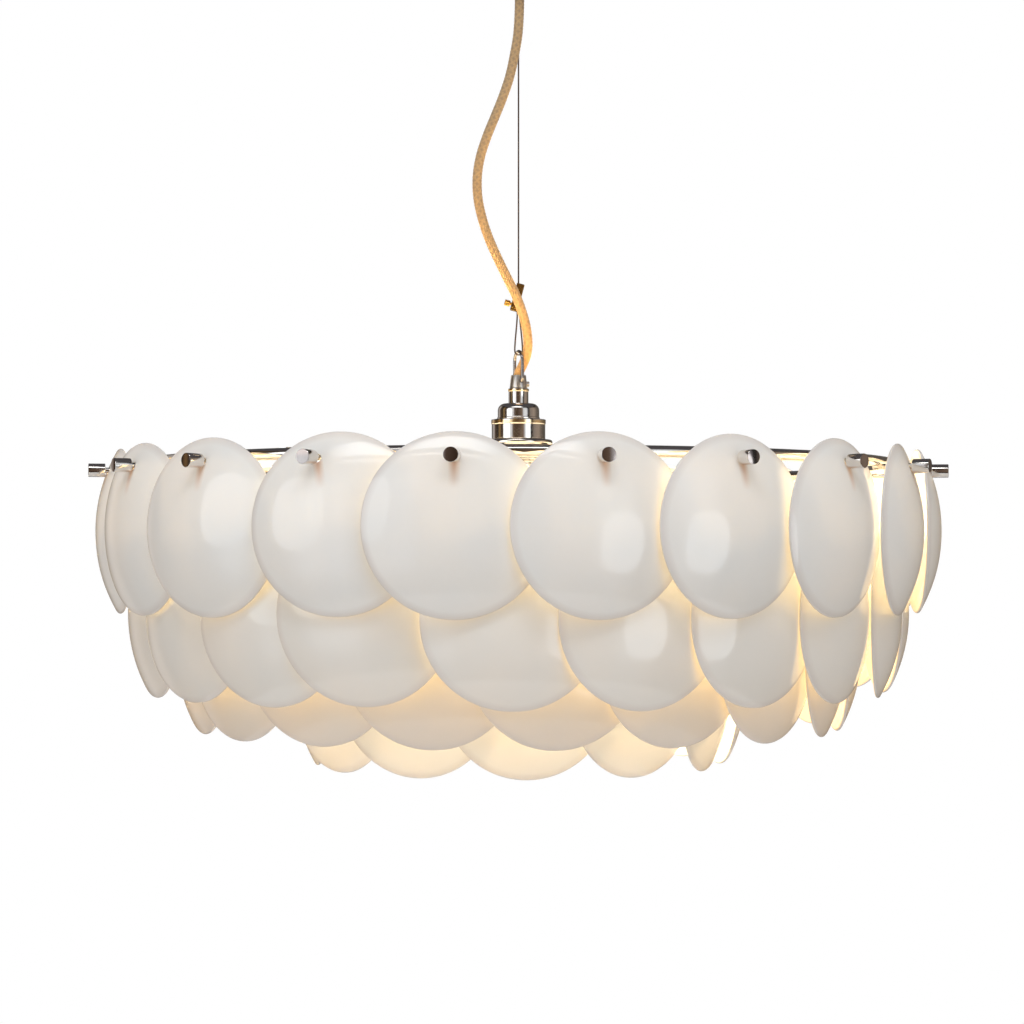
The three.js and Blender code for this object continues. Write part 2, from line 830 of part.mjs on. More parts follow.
// Two strands that run straight through the gripper, part below it and meet in a bend
function wireLoop() {
  const bend = loopBottom() + loopRadius;
  const strand = (side) => {
    const inGripper = (side * loopStrandSpacing) / 2;
    const points = [new THREE.Vector3(inGripper, 0, gripperHeight - seatGap)];
    for (let step = 0; step <= loopStrandSteps; step += 1) {
      const share = step / loopStrandSteps;
      const spread = THREE.MathUtils.smoothstep(share, 0, 1);
      const x = THREE.MathUtils.lerp(inGripper, loopCentre + side * loopRadius, spread);
      points.push(new THREE.Vector3(x, 0, THREE.MathUtils.lerp(gripperFoot(), bend, share)));
    }
    return points;
  };
  const arc = [];
  for (let step = 1; step < loopBendSteps; step += 1) {
    const angle = Math.PI * (1 + step / loopBendSteps);
    const x = loopCentre + loopRadius * Math.cos(angle);
    arc.push(new THREE.Vector3(x, 0, bend + loopRadius * Math.sin(angle)));
  }
  const points = [...strand(-1), ...arc, ...strand(1).reverse()];
  const path = new THREE.CatmullRomCurve3(points);
  return piece('wire_loop', tube(path, wireRadius, wireSides, loopSteps), steel);
}

function wireGripper() {
  const body = new THREE.BoxGeometry(gripperWidth, gripperWidth, gripperLength);
  body.rotateY(degrees(gripperTilt)).translate(gripperOffset, 0, gripperHeight);
  const channelHeight = gripperLength + gripperWidth + cutOverrun;
  const channel = new THREE.BoxGeometry(gripperChannelWidth, gripperChannelDepth, channelHeight);
  channel.translate(0, 0, gripperHeight);
  const bore = rod(thumbShankRadius + seatGap, 2 * (thumbShankLength + seatGap), thumbSides);
  return piece('wire_gripper', cut(body, [channel, ontoGripper(bore)]), brass);
}

// Turns a geometry whose +Z is a screw's outward axis to the gripper's left side
function ontoGripper(geometry) {
  geometry.rotateY(-Math.PI / 2).translate(-gripperWidth / 2, 0, -thumbDrop);
  return geometry.rotateY(degrees(gripperTilt)).translate(gripperOffset, 0, gripperHeight);
}

function gripperThumbScrew() {
  const neckTop = thumbNeckLength;
  return piece('gripper_thumb_screw', ontoGripper(turned([
    [0, -thumbShankLength],
    [thumbShankRadius, -thumbShankLength],
    [thumbShankRadius, neckTop],
    [thumbHeadRadius, neckTop],
    [thumbHeadRadius, neckTop + thumbHeadLength],
    [0, neckTop + thumbHeadLength],
  ], thumbSides)), brass);
}

function suspensionWire() {
  const foot = gripperHeight + seatGap;
  const top = dropToTopStuds - anchorFoot() - seatGap + anchorWireDepth;
  const steps = Math.round((top - foot) / wireStep);
  const path = new THREE.LineCurve3(new THREE.Vector3(0, 0, foot), new THREE.Vector3(0, 0, top));
  return piece('suspension_wire', tube(path, wireRadius, wireSides, steps), steel);
}

function flexCord() {
  const end = gripTop() - gripCordDepth + seatGap;
  const route = [...cordRoute, [0, 0, end + cordEndLength], [0, 0, end]];
  const path = new THREE.CatmullRomCurve3(route.map(([x, y, z]) => new THREE.Vector3(x, y, z)));
  return piece('flex_cord', tube(path, cordRadius, cordSides, cordSteps), braid);
}

// The ceiling rose, measured down from the ceiling

function ceilingBracket() {
  const strap = new THREE.BoxGeometry(strapLength, strapWidth, strapThickness);
  strap.translate(0, 0, -strapThickness / 2);
  const overlap = strapThickness / 2;
  const stem = rod(rodRadius, rodLength - overlap, smallSides);
  stem.translate(0, 0, -overlap - (rodLength - overlap) / 2);
  const holes = [-1, 1].map((side) => {
    const hole = rod(strapHoleRadius, strapThickness + 2 * cutOverrun, smallSides);
    return hole.translate((side * strapHoleSpacing) / 2, 0, -strapThickness / 2);
  });
  return piece('ceiling_bracket', cut(joined([strap, stem]), holes), steel);
}

function roseCup() {
  const inner = cupRadius - cupWall;
  const outerCorner = [];
  const innerCorner = [];
  for (let step = 0; step <= cupCornerSteps; step += 1) {
    const angle = (Math.PI / 2) * (step / cupCornerSteps);
    const centreRadius = cupRadius - cupCorner;
    const centreHeight = -cupHeight + cupCorner;
    const outer = [centreRadius + cupCorner * Math.sin(angle), centreHeight - cupCorner * Math.cos(angle)];
    const tight = cupCorner - cupWall;
    outerCorner.push(outer);
    innerCorner.push([centreRadius + tight * Math.cos(angle), centreHeight - tight * Math.sin(angle)]);
  }
  const cup = turnedWithBore([
    [cupHoleRadius, -cupHeight],
    ...outerCorner,
    [cupRadius, 0],
    [inner, 0],
    ...innerCorner,
    [cupHoleRadius, -cupHeight + cupWall],
  ], cupSides);
  const glandHole = rod(glandShankRadius + seatGap, cupWall + 2 * cutOverrun, smallSides);
  glandHole.translate(glandX, glandY, -cupHeight + cupWall / 2);
  return piece('rose_cup', cut(cup, [glandHole]), nickel);
}

// How far the anchor's tip lies below the ceiling
function anchorFoot() {
  return cupHeight + seatGap + anchorLength;
}

function wireAnchor() {
  const top = -cupHeight - seatGap;
  const flangeFoot = top - anchorFlangeHeight;
  const socketFloor = -rodLength - seatGap;
  const foot = -anchorFoot();
  const body = turned([
    [0, foot],
    [anchorTipRadius, foot],
    [anchorRadius, foot + anchorChamfer],
    [anchorRadius, flangeFoot],
    [anchorFlangeRadius, flangeFoot],
    [anchorFlangeRadius, top],
    [0, top],
  ], holderSides);
  const socketLength = top - socketFloor + cutOverrun;
  const socket = rod(rodRadius + seatGap, socketLength, smallSides);
  socket.translate(0, 0, socketFloor + socketLength / 2);
  const wireBore = rod(anchorWireBore, anchorWireDepth + cutOverrun, smallSides);
  wireBore.translate(0, 0, foot + anchorWireDepth - (anchorWireDepth + cutOverrun) / 2);
  return piece('wire_anchor', cut(body, [socket, wireBore]), nickel);
}

function roseGland() {
  const top = -cupHeight - seatGap;
  const foot = top - glandLength;
  const bore = cordRadius + seatGap;
  const gland = piece('rose_cord_gland', turned([
    [0, foot + glandRecess],
    [bore, foot + glandRecess],
    [bore, foot],
    [glandTipRadius, foot],
    [glandBodyRadius, top - glandFlangeHeight],
    [glandFlangeRadius, top - glandFlangeHeight],
    [glandFlangeRadius, top],
    [glandShankRadius, top],
    [glandShankRadius, top + glandShankLength],
    [0, top + glandShankLength],
  ], smallSides), nickel);
  gland.position.set(glandX, glandY, 0);
  return gland;
}

function terminalBlock() {
  const body = new THREE.BoxGeometry(blockLength, blockWidth, blockHeight);
  const ways = [];
  for (let way = 0; way < blockWays; way += 1) {
    const aside = (way - (blockWays - 1) / 2) * blockPitch;
    const bore = rod(blockBore, blockWidth + 2 * cutOverrun, discHoleSides).rotateX(Math.PI / 2);
    ways.push(bore.translate(aside, 0, 0));
  }
  const block = piece('terminal_block', cut(body, ways), ceramic);
  block.position.set(blockOffset, 0, -strapThickness - seatGap - blockHeight / 2);
  return block;
}

const chandelier = new THREE.Group();
chandelier.add(ceilingBracket(), roseCup(), wireAnchor(), roseGland(), terminalBlock());

const lamp = new THREE.Group();
lamp.position.z = -dropToTopStuds;
chandelier.add(lamp);
lamp.add(suspensionWire(), wireGripper(), gripperThumbScrew(), wireLoop(), flexCord());
lamp.add(hookBail(), cordGrip(), cordGripScrew(), lampholderCap(), lampholderSkirt(), lampholderInsert());
lamp.add(shadeRingUpper(), shadeRingLower(), spiderFrame(), bulbCap(), bulbGlass());
lamp.add(hoop('hoop_1', topTier));
lamp.add(hoop('hoop_2', secondTier));
lamp.add(hoop('hoop_3', thirdTier));
lamp.add(hoop('hoop_4', fourthTier));
lamp.add(discsApart(topTier, 'disc_1'));
lamp.add(discGarland(secondTier, 'disc_garland_2'));
lamp.add(discGarland(thirdTier, 'disc_garland_3'));
lamp.add(discsApart(fourthTier, 'disc_4'));

export default chandelier;
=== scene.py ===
# A pendant chandelier: four tiers of domed, translucent china discs on the studs of four nickel hoops,
# under a lampholder on a steel wire. Metres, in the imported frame: +Z up, the origin on the ceiling, and
# the side that is seen first facing -Y.
import json
from collections import namedtuple
from math import asin, ceil, cos, hypot, pi, radians, sin, sqrt

import bmesh
import bpy
import numpy as np
from mathutils import Matrix, Vector, noise

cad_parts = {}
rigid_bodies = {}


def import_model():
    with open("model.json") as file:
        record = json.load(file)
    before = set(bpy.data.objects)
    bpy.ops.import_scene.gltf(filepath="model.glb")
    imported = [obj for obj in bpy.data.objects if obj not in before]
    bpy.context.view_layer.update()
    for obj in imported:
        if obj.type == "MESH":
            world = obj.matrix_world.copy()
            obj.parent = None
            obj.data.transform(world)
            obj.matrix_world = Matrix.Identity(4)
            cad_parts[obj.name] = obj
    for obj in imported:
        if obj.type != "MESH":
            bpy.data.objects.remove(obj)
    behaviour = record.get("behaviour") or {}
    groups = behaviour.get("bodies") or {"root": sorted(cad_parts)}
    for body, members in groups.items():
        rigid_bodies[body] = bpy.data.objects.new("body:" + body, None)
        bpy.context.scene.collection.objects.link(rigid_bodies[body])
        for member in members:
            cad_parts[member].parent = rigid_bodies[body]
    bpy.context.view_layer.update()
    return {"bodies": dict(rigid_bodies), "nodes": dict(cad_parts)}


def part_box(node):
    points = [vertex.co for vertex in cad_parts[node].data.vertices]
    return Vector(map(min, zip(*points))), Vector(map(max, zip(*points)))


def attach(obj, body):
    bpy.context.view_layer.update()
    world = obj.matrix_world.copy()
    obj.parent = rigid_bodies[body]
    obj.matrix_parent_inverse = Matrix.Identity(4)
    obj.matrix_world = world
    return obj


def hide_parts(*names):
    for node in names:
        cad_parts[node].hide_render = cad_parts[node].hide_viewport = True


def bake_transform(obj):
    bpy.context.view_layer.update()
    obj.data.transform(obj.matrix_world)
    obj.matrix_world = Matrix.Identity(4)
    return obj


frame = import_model()

# The camera looks level at the lamp's axis, and its shift gives the photograph's framing
CAMERA_DISTANCE = 1.970
CAMERA_HEIGHT = -0.4799
CAMERA_LENS = 90.42
CAMERA_SENSOR = 36.0
PHOTO_SIZE_PX = 1024
AXIS_PX = 518.5
HORIZON_PX = 569.6

# The china disc, hung by a hole near its top
DISC_RADIUS = 0.0617
DISC_DEPTH = 0.0165
DISC_WALL = 0.0025
DISC_HOLE_INSET = 0.0168
DISC_HOLE_RADIUS = 0.0029
DISC_SIDES = 96
DISC_RINGS = 15
DISC_RIM_STEPS = 8
DISC_UNEVENNESS = 0.00012
DISC_WARP = 0.0002
# Where the painted shade at the disc's rim begins, as a share of its radius
RIM_SHADE_FROM = 0.91
# The painted shadow of each stud's cap on the china below its hole: its core, half its width, its length and
# its strength
CAP_SHADOW_CORE = 0.0005
CAP_SHADOW_WIDTH = 0.0042
CAP_SHADOW_LENGTH = 0.021
CAP_SHADOW_SHARE = 0.8
TOP_TIER_OUTWARD = 0.0008
SWINGING_TIERS = (1, 4)
SEAT_GAP = 0.0003
DOME = (DISC_RADIUS ** 2 + DISC_DEPTH ** 2) / (2 * DISC_DEPTH)
HOLE_RISE = DISC_RADIUS - DISC_HOLE_INSET

# Studs, screw caps and hoops
STUD_RADIUS = 0.002
STUD_REACH = 0.0275
STUD_SINK = 0.0025
CAP_RADIUS = 0.005
CAP_PLAY = 0.0012
TALL_CAP = 0.0125
LOW_CAP = 0.006
CAP_EDGE = 0.0005
HOOP_BAR_RADIUS = 0.004
HOOP_BAR_SIDES = 20
HOOP_LIFT = 0.0042
STUDS_BELOW_CEILING = 0.406

# The tiers: radius of the hoop, drop below the top tier's studs, number of discs, bearing of the first in
# degrees from the front, height of the caps, yaw at which a disc just clears the next, the askew disc
# (counted from zero) with its yaw, roll and slide, share of light that passes through the china, how
# strongly its inner face glows with the light that is thrown about inside the lamp, and its painted shade:
# the share of its white that is kept, darker and warmer on the lower tiers where less light falls
Tier = namedtuple("Tier", "hoop drop discs bearing cap yaw askew through glow tint")
TIERS = {
    1: Tier(0.285, 0.0, 20, -79.7, TALL_CAP, 6.896725, {3: (9.542971, 16, 0.004)}, 0.125, 0.6, (1, 1, 1.01)),
    2: Tier(0.262, 0.061, 20, -72.6, LOW_CAP, 6.548281, {3: (6.934547, -17, 0)}, 0.09, 1, (0.95, 0.935, 0.92)),
    3: Tier(0.226, 0.089, 18, -73.7, LOW_CAP, 6.475039, {}, 0.16, 0.8, (0.90, 0.86, 0.83)),
    4: Tier(0.138, 0.116, 12, -87.1, LOW_CAP, 7.860060, {}, 0.19, 0.4, (0.97, 0.96, 0.96)),
}

# The flex cord's route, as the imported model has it, measured from the top tier's studs
CORD_RADIUS = 0.0036
CORD_ROUTE = [
    (0.0008, -0.018, 0.3744), (0.0008, -0.018, 0.362), (0.0005, -0.0176, 0.3471),
    (-0.0006, -0.017, 0.3317), (-0.0032, -0.0164, 0.3164), (-0.0066, -0.0158, 0.3011),
    (-0.0117, -0.0152, 0.2858), (-0.0179, -0.0144, 0.2705), (-0.0242, -0.0136, 0.2551),
    (-0.0291, -0.0128, 0.2398), (-0.0314, -0.012, 0.2245), (-0.0309, -0.0112, 0.2092),
    (-0.0277, -0.0104, 0.1939), (-0.0226, -0.0097, 0.1786), (-0.0158, -0.0092, 0.1632),
    (-0.0083, -0.0088, 0.1479), (-0.0021, -0.0085, 0.1355), (0.0023, -0.0078, 0.124),
    (0.0056, -0.0062, 0.1125), (0.007, -0.005, 0.103), (0.007, -0.0038, 0.095),
    (0.0056, -0.0017, 0.0885), (0.0031, -0.0004, 0.0825), (0, 0, 0.0758),
    (0, 0, 0.0728),
]
BRAID_CARRIERS = 8
BRAID_PITCH = 0.0052
BRAID_DEPTH = 0.00032
BRAID_SIDES = 64
BRAID_STEP = 0.00045

# The suspension wire, and the loop under its gripper
WIRE_RADIUS = 0.0006
WIRE_STRANDS = 6
WIRE_LAY = 0.008
WIRE_GROOVE = 0.00012
WIRE_SIDES = 24
WIRE_STEP = 0.0006
LOOP_CENTRE = 0.0001
LOOP_RADIUS = 0.0029
LOOP_SPACING = 0.0018
GRIPPER_OFFSET = -0.00095
GRIPPER_TILT = 14.9
GRIPPER_WIDTH = 0.006
GRIPPER_LENGTH = 0.0214
GRIPPER_HEIGHT = 0.1345

# The cord grip, and the bail whose hooks sit in its sides
GRIP_BASE_RADIUS = 0.0068
GRIP_TOP_RADIUS = 0.0057
GRIP_MOUTH_RADIUS = 0.0042
GRIP_MOUTH_DEPTH = 0.0024
GRIP_SCREW_RADIUS = 0.002
BAIL_BAR_RADIUS = 0.0012
BAIL_PLAY = 0.00045
BAIL_PIVOT_RISE = 0.0054
BAIL_HOOK_REACH = 0.0019
BAIL_HEIGHT = 0.0283
BAIL_BEND = 0.002
BAIL_TURN = 22
BAIL_STEP = 0.0007

# The ring of card that the metal and the glaze mirror: how far it goes to each side, and its shades by
# bearing in degrees from the front, from left to right, as shares of its brightness
CARD_REACH = 180
CARD_RADIUS = 2.2
CARD_HEIGHT = 1.85
CARD_BRIGHTNESS = 3.2
CARD_DIM = 0.8
CARD_MIDDLE = 0.15
CARD_FADE = (0.48, 0.72)
CARD_SHADES = [
    (-180, 0.05, 0.045, 0.04), (-150, 0.05, 0.045, 0.04), (-138, 0.16, 0.15, 0.145), (-128, 0.15, 0.13, 0.115),
    (-120, 0.03, 0.02, 0.014), (-98, 0.012, 0.01, 0.008), (-88, 0.11, 0.07, 0.03), (-80, 0.02, 0.014, 0.01),
    (-67, 0.04, 0.028, 0.02), (-60, 0.14, 0.15, 0.165), (-55, 0.28, 0.30, 0.32), (-44, 0.30, 0.31, 0.32),
    (-38, 0.27, 0.28, 0.30), (-29, 0.26, 0.26, 0.27), (-24, 0.05, 0.035, 0.025), (-8, 0.025, 0.016, 0.01),
    (6, 0.04, 0.027, 0.02), (22, 0.07, 0.05, 0.035), (29, 0.26, 0.27, 0.28), (46, 0.26, 0.27, 0.28),
    (52, 0.10, 0.10, 0.11), (55, 0.008, 0.007, 0.006), (61, 0.008, 0.007, 0.006), (68, 0.08, 0.067, 0.057),
    (95, 0.12, 0.095, 0.075), (118, 0.055, 0.045, 0.037), (140, 0.035, 0.03, 0.025), (180, 0.05, 0.045, 0.04),
]

# The lamps of the studio: azimuth, elevation, distance, width, height, radiance and colour
SOFTBOXES = {
    "left_window": (-43.5, 3, 2.5, 1.48, 2.2, 0.83, (0.98, 0.99, 1.0)),
    "right_window": (38.5, 3, 2.5, 0.92, 2.2, 0.83, (0.98, 0.99, 1.0)),
    "top_box": (0, 52, 2.4, 2.0, 0.55, 5.6, (0.99, 0.99, 1.0)),
    "high_back": (180, 65, 2.4, 2.0, 1.2, 1.2, (1.0, 0.99, 0.97)),
}

# The oval lamps that the glaze and the metal mirror: azimuth, elevation, distance, half the width and the
# height, the soft share of the edge, strength, colour below and above, and the number of ribs. A rib's
# width is a share of a turn, and its shade a share of the light
OVAL_CARDS = {
    "left_box_front": (-52, 10, 1.05, 0.29, 0.31, 0.12, 2.1, (0.78, 0.86, 0.92), (0.97, 0.98, 1.0), 0),
    "umbrella": (42, -7, 2.0, 0.50, 0.62, 0.35, 2.5, (0.86, 0.94, 1.0), (0.90, 0.96, 1.0), 8),
}
OVAL_POWER = 2.6
RIB_WIDTH = 0.05
RIB_SHADE = 0.72

# The box light over the camera as the glaze mirrors it: where it is, half its width and height, and where
# its bright sheet and the line of its frame begin to fade, where they end, and their strength
OVERHEAD = (-10, 51, 2.2)
OVERHEAD_WIDE = 1.2
OVERHEAD_TALL = 0.45
OVERHEAD_ENDS = (0.5, 1.15)
OVERHEAD_DIM = 0.25
SHEET = (0.17, 0.19, 4.2)
FRAME_LINE = (0.025, 0.035, 2.4)
FRAME_LINE_PLACE = 0.33

# The bulb's own light, and the floor
BULB_POWER = 12.0
BULB_LIGHT_RADIUS = 0.045
BULB_LIGHT_RISE = 0.047
FLOOR_RADIUS = 6.0
FLOOR_HEIGHT = -2.2
FLOOR_WHITENS = (0.8, 3.6)

# The room's own light from below and from above
ROOM_BELOW = (0.28, 0.25, 0.23)
ROOM_ABOVE = (0.52, 0.525, 0.53)

# Finishes
CHINA_COOL = (0.77, 0.83, 0.865)
CHINA_WARM = (0.815, 0.85, 0.86)
# painted shade at the disc's rim, for the dark surroundings that the glaze mirrors at grazing angles
CHINA_RIM_SHADE = (0.67, 0.68, 0.70)
# painted warm shadow of the cap below each disc's hole
CHINA_CAP_SHADOW = (0.60, 0.36, 0.26)
CHINA_SHINES_THROUGH = (1.0, 0.91, 0.79)
CHINA_GLOW = (1.0, 0.61, 0.22)
NICKEL = (0.76, 0.73, 0.70)
NICKEL_DARK = (0.60, 0.56, 0.52)
# gold tint on the lampholder's edges: a painted reflection of the lamp's warm light
WARM_GLINT = (1.0, 0.83, 0.55)
BRASS = (0.86, 0.53, 0.14)
BRASS_DARK = (0.52, 0.27, 0.06)
STEEL = (0.64, 0.61, 0.58)
STEEL_DARK = (0.24, 0.21, 0.19)
CAP_FACE = (0.40, 0.35, 0.33)
BAIL_GREY = (0.50, 0.47, 0.45)
WIRE_BROWN = (0.17, 0.115, 0.085)
CERAMIC = (0.82, 0.79, 0.74)
# The braid: tan yarn, grey for its dark yarns and for painted shade where the yarns dive, and painted lamplit
# shades of both near the lamp
BRAID_TAN = (0.50, 0.335, 0.17)
BRAID_GREY = (0.24, 0.175, 0.11)
BRAID_LAMPLIT = (0.84, 0.45, 0.15)
BRAID_LAMPLIT_DARK = (0.56, 0.29, 0.09)
BULB_WARM = (1.0, 0.78, 0.46)
BULB_PALE = (1.0, 0.84, 0.60)
FLOOR = (0.88, 0.865, 0.85)
CEILING_COOL = (0.05, 0.05, 0.06)
CEILING_WARM = (0.11, 0.10, 0.10)

# The metals: colour, colour of the tarnish, roughness where they are smooth and worn, and depth of grain
METALS = {
    "wire_steel": (WIRE_BROWN, STEEL_DARK, 0.35, 0.5, 0.00002),
    "nickel": (NICKEL, NICKEL_DARK, 0.07, 0.14, 0.00002),
    "cap_face": (CAP_FACE, STEEL_DARK, 0.08, 0.14, 0.00002),
    # gold-tinted metal for a painted warm reflection on the lampholder's edges
    "warm_glint_edge": (WARM_GLINT, BRASS, 0.1, 0.2, 0.00002),
    "steel": (STEEL, STEEL_DARK, 0.28, 0.42, 0.00006),
    "bail_steel": (BAIL_GREY, STEEL_DARK, 0.14, 0.26, 0.00002),
    "brass": (BRASS, BRASS_DARK, 0.16, 0.3, 0.00002),
}
SHARP = radians(32)


def placed(name, data):
    """An object of this data in the scene."""
    thing = bpy.data.objects.new(name, data)
    bpy.context.scene.collection.objects.link(thing)
    return thing


def make_camera():
    data = bpy.data.cameras.new("camera")
    data.lens, data.sensor_width = CAMERA_LENS, CAMERA_SENSOR
    data.shift_x = 0.5 - AXIS_PX / PHOTO_SIZE_PX
    data.shift_y = HORIZON_PX / PHOTO_SIZE_PX - 0.5
    camera = placed("camera", data)
    camera.location = (0, -CAMERA_DISTANCE, CAMERA_HEIGHT)
    camera.rotation_euler = (pi / 2, 0, 0)
    bpy.context.scene.camera = camera


def moved(x, y, z):
    return Matrix.Translation((x, y, z))


def rotated(degrees, axis):
    return Matrix.Rotation(radians(degrees), 4, axis)


# Materials

class Nodes:
    """A tree of nodes being made."""

    def __init__(self, tree):
        self.tree = tree

    def node(self, kind, inputs=None, **settings):
        made = self.tree.nodes.new(kind)
        for key, value in settings.items():
            setattr(made, key, value)
        return self.feed(made, inputs or {})

    def feed(self, node, inputs):
        """Links each input to the output it is given, or sets it. A colour comes as three numbers."""
        for key, value in inputs.items():
            socket = node.inputs[key]
            if isinstance(value, bpy.types.NodeSocket):
                self.tree.links.new(value, socket)
            else:
                socket.default_value = (*value, 1) if socket.type == "RGBA" else value
        return node

    def noise(self, scale, detail=3.0, spot=None):
        inputs = {"Vector": spot or self.spot, "Scale": scale, "Detail": detail}
        return self.node("ShaderNodeTexNoise", inputs).outputs["Fac"]

    def span(self, value, low, high, to_low=0.0, to_high=1.0):
        inputs = {"Value": value, "From Min": low, "From Max": high, "To Min": to_low, "To Max": to_high}
        return self.node("ShaderNodeMapRange", inputs).outputs["Result"]

    def blend(self, share, first, second):
        return self.node("ShaderNodeMix", {0: share, 6: first, 7: second}, data_type="RGBA").outputs[2]

    def maths(self, operation, first, second=0.0):
        return self.node("ShaderNodeMath", {0: first, 1: second}, operation=operation).outputs[0]

    def glow(self, colour, strength=1.0):
        return self.node("ShaderNodeEmission", {"Color": colour, "Strength": strength})

    def show(self, shader):
        self.feed(self.output, {"Surface": shader.outputs[0]})

    def show_mixed(self, share, first, second):
        self.show(self.node("ShaderNodeMixShader", {0: share, 1: first.outputs[0], 2: second.outputs[0]}))

    def sees_background(self):
        """1 for the rays that see the background: the camera's, mirrored ones, and those through glass."""
        rays = self.node("ShaderNodeLightPath").outputs
        straight = self.maths("MAXIMUM", rays["Is Camera Ray"], rays["Is Glossy Ray"])
        through = self.maths("SUBTRACT", rays["Is Transmission Ray"], rays["Is Diffuse Ray"])
        return self.maths("MAXIMUM", straight, through)


class Paint(Nodes):
    """A material being made, with its main shader."""

    def __init__(self, name, roughness=0.5, metallic=0.0):
        self.material = bpy.data.materials.new(name)
        self.material.use_nodes = True
        super().__init__(self.material.node_tree)
        self.shader = self.tree.nodes["Principled BSDF"]
        self.output = self.tree.nodes["Material Output"]
        self.set(Roughness=roughness, Metallic=metallic)
        self.spot = self.node("ShaderNodeTexCoord").outputs["Object"]

    def set(self, **inputs):
        """Sets the main shader's inputs. An underscore stands for a space."""
        self.feed(self.shader, {key.replace("_", " "): value for key, value in inputs.items()})

    def bump(self, height, distance, strength):
        inputs = {"Height": height, "Distance": distance, "Strength": strength}
        normal = self.node("ShaderNodeBump", inputs).outputs["Normal"]
        self.set(Normal=normal)
        return normal

    def axes(self):
        return self.node("ShaderNodeSeparateXYZ", {0: self.spot}).outputs

    def reach(self):
        """The distance from the object's own Z axis."""
        squares = [self.maths("MULTIPLY", way, way) for way in self.axes()[:2]]
        return self.maths("SQRT", self.maths("ADD", *squares))


def china_material(key, tier):
    """Glossy bone china that lets some of the light behind it through, in uneven warm and cool whites that
    each tier darkens by a painted shade, with painted shade that greys it towards its rim and a painted
    warm shadow of the stud's cap below its hole. Its inner face glows with the light that is thrown about
    inside the lamp."""
    paint = Paint(f"china_{key}")
    own = paint.node("ShaderNodeObjectInfo").outputs["Random"]
    shifted = paint.node("ShaderNodeVectorMath", {0: paint.spot, 1: own}, operation="ADD").outputs["Vector"]
    # Painted shade: each tier's whites scaled by its own shares, darker and warmer on the lower tiers
    cool, warm = ([level * share for level, share in zip(white, tier.tint)]
                  for white in (CHINA_COOL, CHINA_WARM))
    glaze = paint.blend(paint.span(paint.noise(14.0, 2.0, shifted), 0.35, 0.65), cool, warm)
    # Painted shade: greyer towards the rim, standing in for the dark surroundings that the glaze mirrors there
    rim = paint.span(paint.reach(), RIM_SHADE_FROM * DISC_RADIUS, DISC_RADIUS)
    x, y, z = paint.axes()
    # Painted shadow of the cap: a warm streak down from the foot of the hole
    aside = paint.span(paint.maths("ABSOLUTE", x), CAP_SHADOW_CORE, CAP_SHADOW_WIDTH, CAP_SHADOW_SHARE, 0.0)
    under = paint.span(y, HOLE_RISE - CAP_SHADOW_LENGTH, HOLE_RISE - 0.2 * CAP_SHADOW_LENGTH)
    below = paint.span(y, HOLE_RISE - DISC_HOLE_RADIUS, HOLE_RISE, 1.0, 0.0)
    cap_shadow = paint.maths("MULTIPLY", aside, paint.maths("MULTIPLY", under, below))
    centre = {0: paint.spot, 1: (0, 0, DISC_DEPTH - DOME)}
    depth = paint.node("ShaderNodeVectorMath", centre, operation="DISTANCE").outputs["Value"]
    inside = paint.span(depth, DOME - 0.9 * DISC_WALL, DOME - 0.5 * DISC_WALL, tier.glow, 0.0)
    paint.set(Base_Color=paint.blend(cap_shadow, paint.blend(rim, glaze, CHINA_RIM_SHADE), CHINA_CAP_SHADOW),
              Specular_IOR_Level=0.65, Emission_Color=CHINA_GLOW, Emission_Strength=inside,
              Roughness=paint.span(paint.noise(40.0), 0.3, 0.7, 0.03, 0.07))
    fine = paint.maths("MULTIPLY", paint.noise(900.0, 2.0), 0.004)
    normal = paint.bump(paint.maths("ADD", paint.noise(26.0, 1.0), fine), 0.0004, 0.5)
    through = paint.node("ShaderNodeBsdfTranslucent", {"Color": CHINA_SHINES_THROUGH, "Normal": normal})
    paint.show_mixed(tier.through, paint.shader, through)
    paint.material.cycles.emission_sampling = "NONE"
    return paint.material


def metal(name):
    """Polished or brushed metal, with tarnish in soft clouds and fine wear in its gloss."""
    colour, dark, smooth, rough, grain = METALS[name]
    paint = Paint(name, metallic=1.0)
    paint.set(Base_Color=paint.blend(paint.span(paint.noise(55.0, 4.0), 0.45, 0.75, 0.0, 0.6), colour, dark),
              Roughness=paint.span(paint.noise(420.0, 5.0), 0.3, 0.7, smooth, rough))
    paint.bump(paint.noise(1500.0, 2.0), grain, 0.6)
    return paint.material


